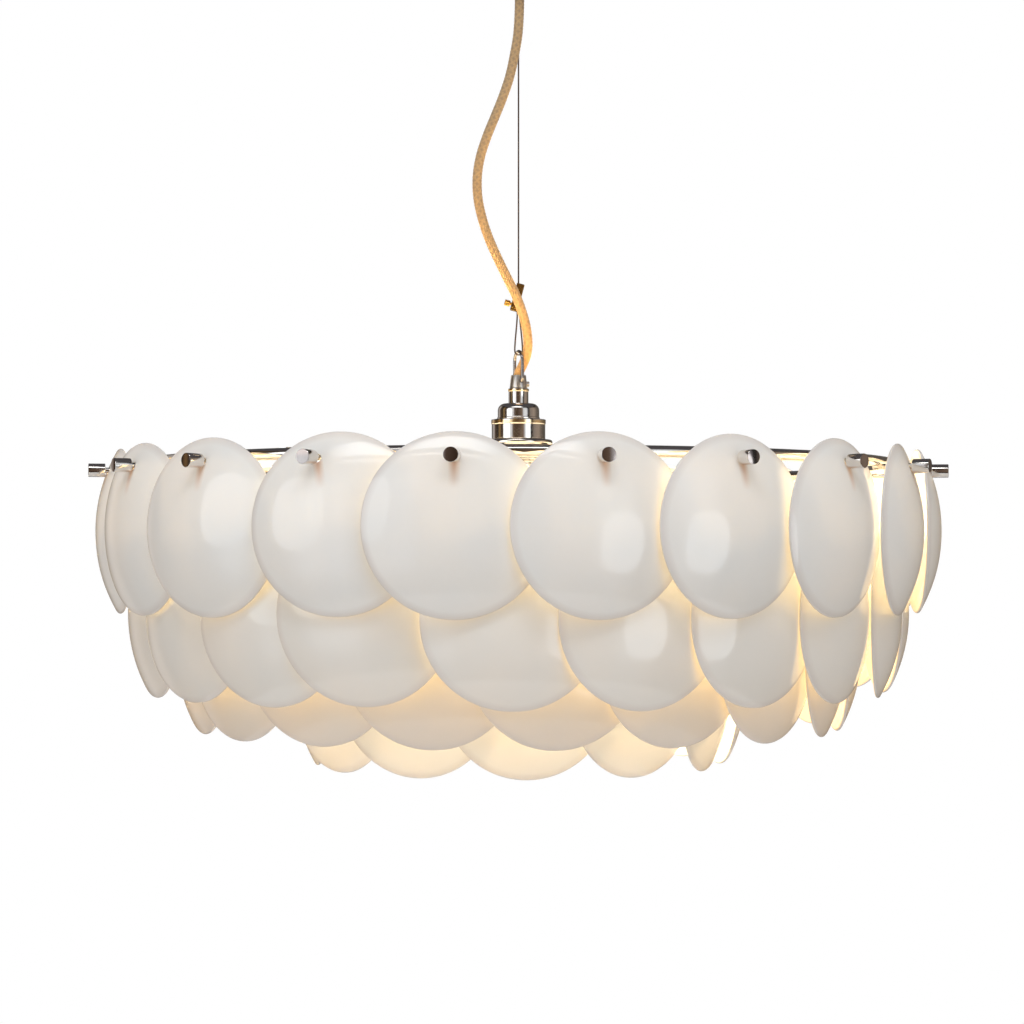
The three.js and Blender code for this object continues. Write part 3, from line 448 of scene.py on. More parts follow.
def braid_material():
    """Woven tan braid with dark yarns in it, with painted shade that greys it where the yarns dive, and
    painted lamplight that turns it golden near the lamp.
    """
    paint = Paint("braid", roughness=0.75)
    relief, dark_yarn = (paint.node("ShaderNodeAttribute", attribute_name=name).outputs["Fac"]
                         for name in ("relief", "dark_yarn"))
    height = paint.axes()["Z"]
    low = CORD_ROUTE[-1][2] - STUDS_BELOW_CEILING
    # Painted lamplight: the yarns turn golden over the last 0.2 m above the lamp
    yarn = paint.blend(paint.span(height, low + 0.20, low + 0.02), BRAID_TAN, BRAID_LAMPLIT)
    dark = paint.blend(paint.span(height, low + 0.20, low + 0.02, 0.0, 0.8), BRAID_GREY, BRAID_LAMPLIT_DARK)
    # Painted shade where the yarns dive under one another, broken up by random flecks, together with the dark
    # yarns on top
    fleck = paint.span(paint.noise(900.0, 3.0), 0.35, 0.7, 0.0, 0.8)
    share = paint.maths("MULTIPLY", fleck, paint.span(relief, 0.9, 0.3, 0.15, 1.0))
    yarns_with_painted_light = paint.blend(paint.maths("MAXIMUM", share, paint.maths("MULTIPLY", dark_yarn, 0.6)), yarn, dark)
    paint.set(Base_Color=yarns_with_painted_light, Sheen_Weight=0.25, Sheen_Roughness=0.5)
    paint.bump(paint.noise(2600.0, 4.0), 0.00008, 0.7)
    return paint.material


def ceramic_material():
    paint = Paint("ceramic", roughness=0.45)
    paint.set(Base_Color=paint.blend(paint.span(paint.noise(60.0), 0.3, 0.7), CERAMIC, CHINA_WARM))
    paint.bump(paint.noise(1400.0, 3.0), 0.00004, 0.6)
    return paint.material


def bulb_material():
    """Opal glass, lit from inside: brightest round its middle and dimmer at its neck."""
    paint = Paint("opal_glass", roughness=0.2)
    low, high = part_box("bulb_glass")
    glow = paint.span(paint.axes()["Z"], high.z, high.z - 0.35 * (high.z - low.z), 1.2, 3.0)
    colour = paint.blend(paint.span(paint.noise(30.0), 0.3, 0.7), BULB_WARM, BULB_PALE)
    paint.set(Base_Color=CERAMIC, Emission_Color=colour, Emission_Strength=glow)
    return paint.material


# Mesh pieces

def dress(piece, body, node):
    """The piece moves with a CAD body, and stands for a CAD node, which it hides."""
    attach(piece, body)
    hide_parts(node)


def finished(name, shape, material):
    """The piece of this shape, smooth but for its sharp edges."""
    mesh = bpy.data.meshes.new(name)
    shape.to_mesh(mesh)
    shape.free()
    mesh.materials.append(material)
    mesh.shade_smooth()
    mesh.set_sharp_from_angle(angle=SHARP)
    return placed(name, mesh)


def add_mesh(name, vertices, faces, material):
    raw = bpy.data.meshes.new(name)
    raw.from_pydata([tuple(v) for v in vertices], [], faces)
    shape = bmesh.new()
    shape.from_mesh(raw)
    bpy.data.meshes.remove(raw)
    bmesh.ops.remove_doubles(shape, verts=shape.verts, dist=1e-7)
    bmesh.ops.dissolve_degenerate(shape, edges=shape.edges, dist=1e-8)
    bmesh.ops.recalc_face_normals(shape, faces=shape.faces)
    return finished(name, shape, material)


def angles(start, end, steps):
    """Angles in even steps from one to another, both ends among them."""
    return [start + (end - start) * step / steps for step in range(steps + 1)]


def rounded(outline, fillet, closed=False, steps=3):
    """The outline with each of its corners as a short curve. Ends that lie on the axis stay as they are."""
    points = [Vector(point) for point in outline]
    result = []
    for i, corner in enumerate(points):
        before = points[i - 1] - corner
        after = points[(i + 1) % len(points)] - corner
        on_axis = not closed and i in (0, len(points) - 1)
        if on_axis or before.angle(after) > radians(172):
            result.append(corner)
            continue
        start = corner + before.normalized() * min(fillet, before.length * 0.45)
        end = corner + after.normalized() * min(fillet, after.length * 0.45)
        for step in range(steps + 1):
            share = step / steps
            result.append(start.lerp(corner, share).lerp(corner.lerp(end, share), share))
    return result


def refined(outline, longest, closed=False):
    """The outline with its long straight runs in steps, for a thread or a hammered wall."""
    result = []
    ends = outline[1:] + outline[:1] if closed else outline[1:]
    for start, end in zip(outline, ends):
        count = max(1, ceil((end - start).length / longest))
        result += [start.lerp(end, step / count) for step in range(count)]
    return result if closed else result + [outline[-1]]


def turned(name, outline, material, closed=False, sides=96, thread=None, centre=(0, 0), knurl=None):
    """A piece turned about the vertical axis. A thread is (foot, top, pitch, depth, least radius), and a
    knurl is (foot, top, teeth, depth)."""
    vertices = []
    for side in range(sides):
        angle = 2 * pi * side / sides
        for radius, height in outline:
            if thread and radius > thread[4]:
                ease = min(1, max(0, min(height - thread[0], thread[1] - height) / thread[2]))
                radius += ease * thread[3] * (sin(2 * pi * height / thread[2] - angle) - 1) / 2
            if knurl and knurl[0] < height < knurl[1] and radius > 0:
                radius -= knurl[3] * (0.5 + 0.5 * cos(knurl[2] * angle))
            x = centre[0] + radius * cos(angle)
            y = centre[1] + radius * sin(angle)
            vertices.append((x, y, height))
    count = len(outline)
    runs = range(count) if closed else range(count - 1)
    faces = []
    for side in range(sides):
        here = side * count
        there = (side + 1) % sides * count
        for run in runs:
            up = (run + 1) % count
            faces.append((here + run, there + run, there + up, here + up))
    return add_mesh(name, vertices, faces, material)


def rod(radius, start, end):
    """The outline of a plain round bar."""
    return [(0, start), (radius, start), (radius, end), (0, end)]


def pin(radius, start, end, sides=32, centre=(0, 0)):
    """A plain round cutter along Z."""
    return turned("cutter", rod(radius, start, end), None, sides=sides, centre=centre)


def accent(piece, material, low, high, least_radius):
    """Gives the faces in a band of heights, from a radius outwards, a finish of their own."""
    piece.data.materials.append(material)
    for face in piece.data.polygons:
        x, y, z = face.center
        if low < z < high and hypot(x, y) > least_radius:
            face.material_index = 1


def cut_with(piece, *cutters):
    """Cuts the cutters out of the piece, and removes them."""
    for cutter in cutters:
        modifier = piece.modifiers.new("cut", "BOOLEAN")
        modifier.object = cutter
        modifier.operation = "DIFFERENCE"
        modifier.solver = "EXACT"
    graph = bpy.context.evaluated_depsgraph_get()
    mesh = bpy.data.meshes.new_from_object(piece.evaluated_get(graph))
    piece.modifiers.clear()
    piece.data = mesh
    for cutter in cutters:
        bpy.data.objects.remove(cutter)
    piece.data.set_sharp_from_angle(angle=SHARP)


def block(name, size, place, material, edge=0.0004):
    """A box with softened edges, set in place by a matrix."""
    shape = bmesh.new()
    bmesh.ops.create_cube(shape, size=1)
    bmesh.ops.scale(shape, vec=size, verts=shape.verts)
    if edge:
        bmesh.ops.bevel(shape, geom=shape.edges, offset=edge, segments=3, profile=0.7, affect="EDGES")
    shape.transform(place)
    return finished(name, shape, material)


# Lines and what follows them

def smooth_line(points, step):
    """Points at even steps along the centripetal curve through the given ones."""
    knots = [Vector(p) for p in points]
    knots = [2 * knots[0] - knots[1]] + knots + [2 * knots[-1] - knots[-2]]
    fine = []
    for p0, p1, p2, p3 in zip(knots, knots[1:], knots[2:], knots[3:]):
        d0, d1, d2 = (sqrt((b - a).length) for a, b in ((p0, p1), (p1, p2), (p2, p3)))
        m1 = ((p1 - p0) / d0 - (p2 - p0) / (d0 + d1) + (p2 - p1) / d1) * d1
        m2 = ((p2 - p1) / d1 - (p3 - p1) / (d1 + d2) + (p3 - p2) / d2) * d1
        for i in range(40):
            t = i / 40
            bend, twist = 3 * (p2 - p1) - 2 * m1 - m2, 2 * (p1 - p2) + m1 + m2
            fine.append(p1 + m1 * t + bend * t ** 2 + twist * t ** 3)
    fine.append(knots[-2])
    return even_line(fine, step)


def even_line(points, step):
    line = np.array([tuple(p) for p in points])
    along = np.concatenate([[0], np.cumsum(np.linalg.norm(np.diff(line, axis=0), axis=1))])
    count = max(2, round(along[-1] / step))
    places = np.linspace(0, along[-1], count + 1)
    return [Vector([np.interp(place, along, line[:, axis]) for axis in range(3)]) for place in places]


def eased(share):
    return share * share * (3 - 2 * share)


def swept(name, line, sides, radius_at, material):
    """A tube along a line, whose radius at a share of its turn and a distance along it comes from a
    function. Returns the piece and each vertex's radius."""
    vertices = []
    radii = []
    along = 0.0
    ahead = (line[1] - line[0]).normalized()
    across = ahead.orthogonal().normalized()
    for i, point in enumerate(line):
        onward = (line[min(i + 1, len(line) - 1)] - line[max(i - 1, 0)]).normalized()
        across = (ahead.rotation_difference(onward) @ across).normalized()
        ahead = onward
        beside = ahead.cross(across)
        if i:
            along += (point - line[i - 1]).length
        for side in range(sides):
            angle = 2 * pi * side / sides
            radius = radius_at(angle, along)
            radii.append(radius)
            vertices.append(point + radius * (cos(angle) * across + sin(angle) * beside))
    faces = []
    for i in range(len(line) - 1):
        for side in range(sides):
            here, after = i * sides, (side + 1) % sides
            faces.append((here + side, here + after, here + sides + after, here + sides + side))
    faces.append(tuple(range(sides)))
    faces.append(tuple(len(vertices) - sides + side for side in range(sides)))
    return add_mesh(name, vertices, faces, material), radii


# Cords

def braid(angle, along):
    """Two sets of yarns that wind opposite ways and pass over and under one another. Gives the radius, and
    whether a dark yarn is on top: every second yarn of one set is dark."""
    turn = BRAID_CARRIERS * angle / (2 * pi)
    rise = along / BRAID_PITCH * 2
    first, second = turn + rise, turn - rise
    first_over = (first // 1 + second // 1) % 2 == 1
    on_top = first if first_over else second
    yarn = sin(pi * (on_top % 1))
    return CORD_RADIUS - BRAID_DEPTH * (1 - yarn ** 0.7), first_over and first // 1 % 2 == 0


def strand_radius(angle, along):
    lobe = abs(sin(WIRE_STRANDS * (angle - 2 * pi * along / WIRE_LAY) / 2))
    return WIRE_RADIUS - WIRE_GROOVE * (1 - lobe) ** 2


def flex_cord(material):
    route = [Vector((x, y, z - STUDS_BELOW_CEILING)) for x, y, z in CORD_ROUTE]
    line = smooth_line(route, BRAID_STEP)
    dark = []

    def radius_at(angle, along):
        radius, dark_yarn = braid(angle, along)
        dark.append(dark_yarn)
        return radius

    cord, radii = swept("flex_cord_braid", line, BRAID_SIDES, radius_at, material)
    shares = (np.array(radii) - CORD_RADIUS + BRAID_DEPTH) / BRAID_DEPTH
    for name, values in (("relief", shares), ("dark_yarn", np.array(dark))):
        attribute = cord.data.attributes.new(name, "FLOAT", "POINT")
        attribute.data.foreach_set("value", values[:len(cord.data.vertices)].astype(np.float32))
    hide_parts("flex_cord")
    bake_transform(cord)


def wire_rope(node, line, material):
    """A stranded steel wire along a line."""
    wire, _ = swept(f"{node}_rope", line, WIRE_SIDES, strand_radius, material)
    dress(wire, "suspension", node)


def suspension_wire(material):
    low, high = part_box("suspension_wire")
    line = even_line([(0, 0, high.z), (0, 0, low.z)], WIRE_STEP)
    wire_rope("suspension_wire", line, material)


def wire_loop(material):
    """The wire's loop: two strands that leave the gripper, part, and meet in a bend under the bail's top."""
    low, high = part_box("wire_loop")
    bend = low.z + WIRE_RADIUS + LOOP_RADIUS
    foot = -STUDS_BELOW_CEILING + GRIPPER_HEIGHT - GRIPPER_LENGTH / 2

    def strand(side):
        inner = side * LOOP_SPACING / 2
        points = [(inner, 0, high.z)]
        for step in range(5):
            share = step / 4
            x = inner + (LOOP_CENTRE + side * LOOP_RADIUS - inner) * eased(share)
            points.append((x, 0, foot + (bend - foot) * share))
        return points

    arc = [(LOOP_CENTRE + LOOP_RADIUS * cos(a), 0, bend + LOOP_RADIUS * sin(a))
           for a in angles(pi, 2 * pi, 6)[1:-1]]
    line = smooth_line(strand(-1) + arc + strand(1)[::-1], WIRE_STEP)
    wire_rope("wire_loop", line, material)


# The discs. The dome is part of a sphere, and a disc faces +Z with its rim's edge at zero

def dome_height(distance):
    return sqrt(DOME ** 2 - distance ** 2) - (DOME - DISC_DEPTH)


def face_radius(tier):
    """How far from the lamp's axis the stud meets the dome's face."""
    stand_off = dome_height(HOLE_RISE - CAP_RADIUS) - dome_height(HOLE_RISE) + CAP_PLAY
    return tier.hoop + STUD_REACH - stand_off


def disc_on_stud(yaw, roll, slide):
    """From a disc to its stud's frame: X along the tier, Y up and Z outwards."""
    drop = moved(0, STUD_RADIUS + SEAT_GAP - DISC_HOLE_RADIUS, -slide)
    hung = moved(0, -HOLE_RISE, -dome_height(HOLE_RISE))
    return rotated(roll, "Z") @ drop @ rotated(yaw, "Y") @ hung


def stud_place(tier, number, radius):
    down = moved(0, 0, -STUDS_BELOW_CEILING - tier.drop)
    round_lamp = rotated(tier.bearing + 360 / tier.discs * number, "Z")
    return down @ round_lamp @ moved(0, -radius, 0) @ rotated(90, "X")


def disc_blank():
    """The turned disc with its round rim, and the hole that its stud passes through."""
    half = DISC_WALL / 2
    rim = asin((DISC_RADIUS - half) / (DOME - half))
    centre_drop = DOME - DISC_DEPTH

    def on_sphere(radius, angle):
        return Vector((radius * sin(angle), radius * cos(angle) - centre_drop))

    outline = [on_sphere(DOME, angle) for angle in angles(0, rim, DISC_RINGS)[:-1]]
    middle = on_sphere(DOME - half, rim)
    outline += [middle + half * Vector((sin(angle), cos(angle)))
                for angle in angles(rim, pi + rim, DISC_RIM_STEPS)]
    outline += [on_sphere(DOME - DISC_WALL, angle) for angle in angles(rim, 0, DISC_RINGS)[1:]]
    blank = turned("disc_blank", outline, None, sides=DISC_SIDES)
    hole = pin(DISC_HOLE_RADIUS, -3 * DISC_DEPTH, 3 * DISC_DEPTH)
    hole.data.transform(moved(0, HOLE_RISE, 0))
    cut_with(blank, hole)
    return blank


def china_disc(name, blank, material, place, number):
    """One disc with an unevenness of its own, as a hand-finished piece has."""
    mesh = blank.data.copy()
    mesh.materials.clear()
    mesh.materials.append(material)
    spots = np.zeros(len(mesh.vertices) * 3, np.float32)
    mesh.vertices.foreach_get("co", spots)
    spots = spots.reshape(-1, 3)
    offset = Vector((number * 1.7, number * 0.9, number * 2.3))
    for spot in spots:
        x, y = float(spot[0]), float(spot[1])
        share = hypot(x, y) / DISC_RADIUS
        here = offset + Vector((x, y, 0)) * 22
        wave = DISC_UNEVENNESS * noise.noise(here * 1.6) + DISC_WARP * share ** 2 * noise.noise(here * 0.6)
        spot[2] += wave
        squeeze = 1 - 0.004 * share * (1 + noise.noise(here * 0.9))
        spot[0] = x * squeeze
        spot[1] = HOLE_RISE + (y - HOLE_RISE) * squeeze
    mesh.vertices.foreach_set("co", spots.ravel())
    mesh.update()
    disc = placed(name, mesh)
    disc.matrix_world = place
    return disc


def disc_tiers():
    """The discs on their studs. The top tier's hang against their caps' play, clear of the tier below."""
    blank = disc_blank()
    for key, tier in TIERS.items():
        material = china_material(key, tier)
        outward = TOP_TIER_OUTWARD if key == 1 else 0
        for number in range(tier.discs):
            yaw, roll, slide = tier.askew.get(number, (tier.yaw, 0, 0))
            place = stud_place(tier, number, face_radius(tier)) @ disc_on_stud(yaw, roll, slide - outward)
            label = f"{key}_{number + 1:02d}"
            disc = china_disc(f"china_{label}", blank, material, place, 31 * key + number)
            if key in SWINGING_TIERS:
                dress(disc, f"disc_{label}", f"disc_{label}")
            else:
                dress(disc, "pendant", f"disc_garland_{key}")
    bpy.data.objects.remove(blank)


# Hoops, studs and caps

def joined_copies(name, blank, places, material):
    """One piece of many copies of a small mesh, each set in its place."""
    whole = bmesh.new()
    for place in places:
        copy = blank.data.copy()
        copy.transform(place)
        whole.from_mesh(copy)
        bpy.data.meshes.remove(copy)
    return finished(name, whole, material)


def hoops(nickel, cap_face):
    for key, tier in TIERS.items():
        middle = HOOP_LIFT - STUDS_BELOW_CEILING - tier.drop
        ring = [(tier.hoop + HOOP_BAR_RADIUS * cos(turn), middle + HOOP_BAR_RADIUS * sin(turn))
                for turn in angles(0, 2 * pi, HOOP_BAR_SIDES)[:-1]]
        bar = turned(f"hoop_bar_{key}", ring, nickel, closed=True, sides=240)
        dress(bar, "pendant", f"hoop_{key}")
        places = [stud_place(tier, number, tier.hoop) for number in range(tier.discs)]
        top = STUD_REACH + tier.cap
        end = top - CAP_RADIUS / 2
        stud = turned("stud", rounded(rod(STUD_RADIUS, -STUD_SINK, end), CAP_EDGE), nickel, sides=20)
        cap = turned("cap", rounded(rod(CAP_RADIUS, STUD_REACH, top), CAP_EDGE), nickel, sides=48)
        for face in cap.data.polygons:
            face.material_index = int(face.center.z > top - CAP_EDGE / 4)
        studs = joined_copies(f"hoop_studs_{key}", stud, places, nickel)
        caps = joined_copies(f"hoop_caps_{key}", cap, places, nickel)
        caps.data.materials.append(cap_face)
        dress(studs, "pendant", f"hoop_{key}")
        dress(caps, "pendant", f"hoop_{key}")
        for blank in (stud, cap):
            bpy.data.objects.remove(blank)


# The lampholder and its rings

# The edges given the second finish are gold-tinted metal, a painted warm reflection of the lamp's light
def lampholder(nickel, warm_glint, ceramic):
    low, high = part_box("lampholder_cap")
    foot, top, radius = low.z, high.z, high.x
    base_top, shoulder_foot, neck_foot, collar_foot = foot + 0.0014, foot + 0.0066, foot + 0.012, top - 0.002
    dome, neck, wall, bore = 0.0159, 0.0076, 0.0016, 0.005
    rise = neck_foot - shoulder_foot
    shoulder = [(dome - rise * (1 - cos(a)), shoulder_foot + rise * sin(a)) for a in angles(0, pi / 2, 8)]
    cap = turned("lampholder_cap_shell", rounded([
        (radius, foot), (radius, base_top), (dome, base_top), *shoulder,
        (neck, neck_foot), (neck, collar_foot), (0.008, collar_foot), (0.008, top),
        (bore, top), (bore, neck_foot - wall), (dome - wall, shoulder_foot), (dome - wall, foot),
    ], 0.0004, closed=True), nickel, closed=True)
    accent(cap, warm_glint, collar_foot - 0.0001, top - 0.0003, neck + 0.0001)
    dress(cap, "pendant", "lampholder_cap")

    low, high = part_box("lampholder_skirt")
    foot, top, flange = low.z, high.z, high.x
    flange_foot, thread_top = top - 0.0035, top - 0.0152
    body, thread, bore, plate_bore = 0.0205, 0.0195, 0.0178, 0.012
    outline = rounded([
        (thread, foot), (thread, thread_top), (body, thread_top), (body, flange_foot), (flange, flange_foot),
        (flange, top), (plate_bore, top), (plate_bore, top - 0.0015), (bore, top - 0.0015), (bore, foot),
    ], 0.0005, closed=True)
    skirt = turned("lampholder_skirt_shell", refined(outline, 0.0004, closed=True), nickel, closed=True,
                   sides=128, thread=(foot, thread_top, 0.0025, 0.0009, thread - 0.0006))
    accent(skirt, warm_glint, flange_foot + 0.0006, top - 0.0007, body)
    dress(skirt, "pendant", "lampholder_skirt")

    low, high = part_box("lampholder_insert")
    floor, bore = high.z - 0.004, 0.0135
    insert = turned("lampholder_insert_ceramic", rounded([
        (0, floor), (bore, floor), (bore, low.z), (high.x, low.z), (high.x, high.z), (0, high.z),
    ], 0.0005), ceramic)
    dress(insert, "pendant", "lampholder_insert")

    low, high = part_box("shade_ring_upper")
    bore, round_off = 0.0198, 0.0015
    middle, half = (low.z + high.z) / 2, (high.z - low.z) / 2
    bead = [(bore, low.z), (bore, high.z)]
    for angle in angles(pi / 2, -pi / 2, 12):
        bead.append((high.x - round_off + round_off * cos(angle), middle + half * sin(angle)))
    ring = turned("shade_ring_bead", bead, nickel, closed=True, sides=128)
    dress(ring, "pendant", "shade_ring_upper")

    low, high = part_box("shade_ring_lower")
    band, step_in = (high.z - low.z) / 3, 0.0011
    steps = []
    for number in range(3):
        reach = high.x - step_in * (2 - number)
        steps += [(reach, low.z + band * number), (reach, low.z + band * (number + 1))]
    ring = turned("shade_ring_stepped", rounded([(bore, low.z), *steps, (bore, high.z)], 0.0005, closed=True),
                  nickel, closed=True, sides=128)
    accent(ring, warm_glint, high.z - 0.0016, high.z - 0.0004, high.x - 0.0006)
    dress(ring, "pendant", "shade_ring_lower")


def bulb(steel, glass):
    low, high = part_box("bulb_cap")
    wall, contact, contact_height = 0.0012, 0.0046, 0.0016
    shoulder = high.z - contact_height
    outline = rounded([
        (0, shoulder - wall), (high.x - wall, shoulder - wall), (high.x - wall, low.z), (high.x, low.z),
        (high.x, shoulder - 0.003), (contact + 0.003, shoulder), (contact, shoulder), (contact, high.z),
        (0, high.z),
    ], 0.0006)
    cap = turned("bulb_screw_cap", refined(outline, 0.0004), steel,
                 thread=(low.z + 0.003, shoulder - 0.002, 0.00363, 0.0009, high.x - 0.0004))
    dress(cap, "bulb", "bulb_cap")

    low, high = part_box("bulb_glass")
    radius, length, neck, wall = high.x, high.z - low.z, 0.013, 0.0012

    def skin(inset):
        points = []
        for angle in angles(0, pi / 2, 40):
            height = inset + (length - inset) * (1 - cos(angle))
            rise = height - inset
            ball = radius - inset
            if rise < ball:
                reach = sqrt(max(0, rise * (2 * ball - rise)))
            else:
                share = min(1, (height - radius) / (length - 0.016 - radius))
                reach = ball + (neck - inset - ball) * eased(share)
            points.append((reach, low.z + height))
        return points

    envelope = turned("bulb_envelope", skin(0) + skin(wall)[::-1], glass)
    envelope.visible_shadow = False
    dress(envelope, "bulb", "bulb_glass")


# Cord grip, bail and gripper

def bail_line(foot, hook_end, spread):
    """The bail's centre line: up from one hook, over the round top, and down to the other."""
    pivot = foot + BAIL_PIVOT_RISE
    shoulder = foot + BAIL_HEIGHT - spread
    half = [(hook_end, pivot)]
    for angle in angles(0, pi / 2, 3):
        half.append((spread - BAIL_BEND * (1 - sin(angle)), pivot + BAIL_BEND * (1 - cos(angle))))
    half.append((spread, (pivot + BAIL_BEND + shoulder) / 2))
    half += [(spread * cos(angle), shoulder + spread * sin(angle)) for angle in angles(0, pi / 2, 4)[:-1]]
    near = [(0, -aside, height) for aside, height in half]
    far = [(0, aside, height) for aside, height in half[::-1]]
    return smooth_line(near + [(0, 0, foot + BAIL_HEIGHT)] + far, BAIL_STEP)


def hardware(steel, bail_steel, brass):
    low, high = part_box("cord_grip")
    foot, top = low.z, high.z
    turn = rotated(BAIL_TURN, "Z")
    share = BAIL_PIVOT_RISE / (top - foot)
    side = GRIP_BASE_RADIUS + (GRIP_TOP_RADIUS - GRIP_BASE_RADIUS) * share
    hook_end = side - BAIL_HOOK_REACH
    mouth_floor = top - GRIP_MOUTH_DEPTH
    grip = turned("cord_grip_body", rounded([
        (0, foot), (GRIP_BASE_RADIUS, foot), (GRIP_TOP_RADIUS, top), (GRIP_MOUTH_RADIUS, top),
        (GRIP_MOUTH_RADIUS, mouth_floor), (0, mouth_floor),
    ], 0.0005), steel, sides=64)
    screw_low, screw_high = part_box("cord_grip_screw")
    screw_axis = moved(0, 0, (screw_low.z + screw_high.z) / 2) @ rotated(90, "Y")
    bore = pin(GRIP_SCREW_RADIUS + SEAT_GAP, screw_low.x - SEAT_GAP, 2 * GRIP_BASE_RADIUS)
    bore.data.transform(screw_axis)
    pivots = []
    for quarter in (-90, 90):
        pivot = pin(BAIL_BAR_RADIUS + BAIL_PLAY, hook_end - SEAT_GAP, 2 * GRIP_BASE_RADIUS)
        up = moved(0, 0, foot + BAIL_PIVOT_RISE)
        pivot.data.transform(up @ turn @ rotated(quarter, "X"))
        pivots.append(pivot)
    cut_with(grip, bore, *pivots)
    dress(grip, "pendant", "cord_grip")
    shank = rod(GRIP_SCREW_RADIUS, screw_low.x, screw_high.x)
    screw = turned("cord_grip_screw_slotted", rounded(shank, 0.0003), bail_steel, sides=32)
    nick = block("nick", (0.0005, 0.006, 0.0012), moved(0, 0, screw_high.x), steel, edge=0)
    cut_with(screw, nick)
    screw.data.transform(screw_axis)
    dress(screw, "pendant", "cord_grip_screw")

    line = [turn @ point for point in bail_line(foot, hook_end, side + BAIL_PLAY + BAIL_BAR_RADIUS)]
    bail, _ = swept("hook_bail_bar", line, 24, lambda angle, along: BAIL_BAR_RADIUS, bail_steel)
    dress(bail, "pendant", "hook_bail")

    place = moved(GRIPPER_OFFSET, 0, GRIPPER_HEIGHT - STUDS_BELOW_CEILING)
    tilted = place @ rotated(GRIPPER_TILT, "Y")
    size = (GRIPPER_WIDTH, GRIPPER_WIDTH, GRIPPER_LENGTH)
    body = block("wire_gripper_block", size, tilted, brass, edge=0.0009)
    middle = moved(0, 0, place.translation.z)
    channel = block("channel", (0.0036, 0.0019, 0.04), middle, brass, edge=0)
    onto = tilted @ moved(-GRIPPER_WIDTH / 2, 0, -0.006) @ rotated(-90, "Y")
    bore = pin(0.0015, -0.0038, 0.004)
    bore.data.transform(onto)
    cut_with(body, channel, bore)
    dress(body, "suspension", "wire_gripper")
    neck, head = 0.0012, 0.0054
    thumb = turned("gripper_thumb_screw_knurled", refined(rounded([
        (0, -0.0035), (0.0012, -0.0035), (0.0012, neck), (0.0023, neck), (0.0023, head), (0, head),
    ], 0.0003), 0.0004), brass, knurl=(neck + 0.0003, head - 0.0003, 24, 0.00016))
    thumb.data.transform(onto)
    dress(thumb, "thumb_screw", "gripper_thumb_screw")


# The ceiling rose

def ceiling_rose(nickel, steel, ceramic):
    low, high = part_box("rose_cup")
    radius, wall, corner, hole = high.x, 0.0015, 0.005, 0.0053
    inset, lift, tight = radius - corner, low.z + corner, corner - wall
    quarter = angles(0, pi / 2, 8)
    outer = [(inset + corner * sin(a), lift - corner * cos(a)) for a in quarter]
    inner = [(inset + tight * cos(a), lift - tight * sin(a)) for a in quarter]
    cup = turned("rose_cup_shell", rounded([
        (hole, low.z), *outer, (radius, 0), (radius - wall, 0), *inner, (hole, low.z + wall),
    ], 0.0003, closed=True, steps=2), nickel, closed=True, sides=128)
    gland_low, gland_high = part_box("rose_cord_gland")
    exit = ((gland_low.x + gland_high.x) / 2, (gland_low.y + gland_high.y) / 2)
    cut_with(cup, pin(SEAT_GAP + 0.005, -0.03, -0.02, sides=48, centre=exit))
    dress(cup, "ceiling_rose", "rose_cup")

    low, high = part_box("wire_anchor")
    foot, top = low.z, high.z
    anchor = turned("wire_anchor_body", rounded([
        (0, foot + 0.0035), (0.0016, foot + 0.0035), (0.0016, foot), (0.0042, foot), (0.0064, foot + 0.003),
        (0.0064, top - 0.003), (high.x, top - 0.003), (high.x, top), (0.005, top), (0.005, -0.0293),
        (0, -0.0293),
    ], 0.0004), nickel, sides=64)
    dress(anchor, "ceiling_rose", "wire_anchor")

    foot, shank_top = gland_low.z, gland_high.z
    flange_top = shank_top - 0.007
    gland_bore = CORD_RADIUS + SEAT_GAP
    gland = turned("rose_cord_gland_body", rounded([
        (0, foot + 0.005), (gland_bore, foot + 0.005), (gland_bore, foot), (0.0048, foot),
        (0.0053, flange_top - 0.003), (0.008, flange_top - 0.003), (0.008, flange_top), (0.005, flange_top),
        (0.005, shank_top), (0, shank_top),
    ], 0.0004), nickel, sides=64, centre=exit)
    dress(gland, "ceiling_rose", "rose_cord_gland")

    soften("ceiling_bracket", steel, 0.0005)
    soften("terminal_block", ceramic, 0.0006)


def soften(node, material, edge):
    """A CAD node that is shown as it is, with a small bevel and a finish."""
    shown = frame["nodes"][node]
    shown.data.materials.clear()
    shown.data.materials.append(material)
    bevel = shown.modifiers.new("edge", "BEVEL")
    bevel.width = edge
    bevel.segments = 2
    bevel.limit_method = "ANGLE"
    bevel.angle_limit = radians(40)
    bevel.harden_normals = True


# Studio

def spot_round(azimuth, elevation, distance):
    """A point seen from the lamp's middle in a direction: azimuth 0 is the front, and 90 the right."""
    a, e = radians(azimuth), radians(elevation)
    target = Vector((0, 0, CAMERA_HEIGHT))
    return target + distance * Vector((sin(a) * cos(e), -cos(a) * cos(e), sin(e)))


def facing_lamp(thing, azimuth, elevation, distance):
    thing.location = spot_round(azimuth, elevation, distance)
    inward = spot_round(0, 0, 0) - thing.location
    thing.rotation_euler = inward.to_track_quat("-Z", "Y").to_euler()


def add_light(name, kind, energy, colour):
    """A light that mirrors don't show."""
    data = bpy.data.lights.new(name, kind)
    data.energy = energy
    data.color = colour
    light = placed(name, data)
    light.visible_camera = light.visible_glossy = False
    return light


def softbox(name, azimuth, elevation, distance, width, height, radiance, colour):
    light = add_light(name, "AREA", radiance * pi * width * height, colour)
    light.data.shape, light.data.size, light.data.size_y = "RECTANGLE", width, height
    facing_lamp(light, azimuth, elevation, distance)


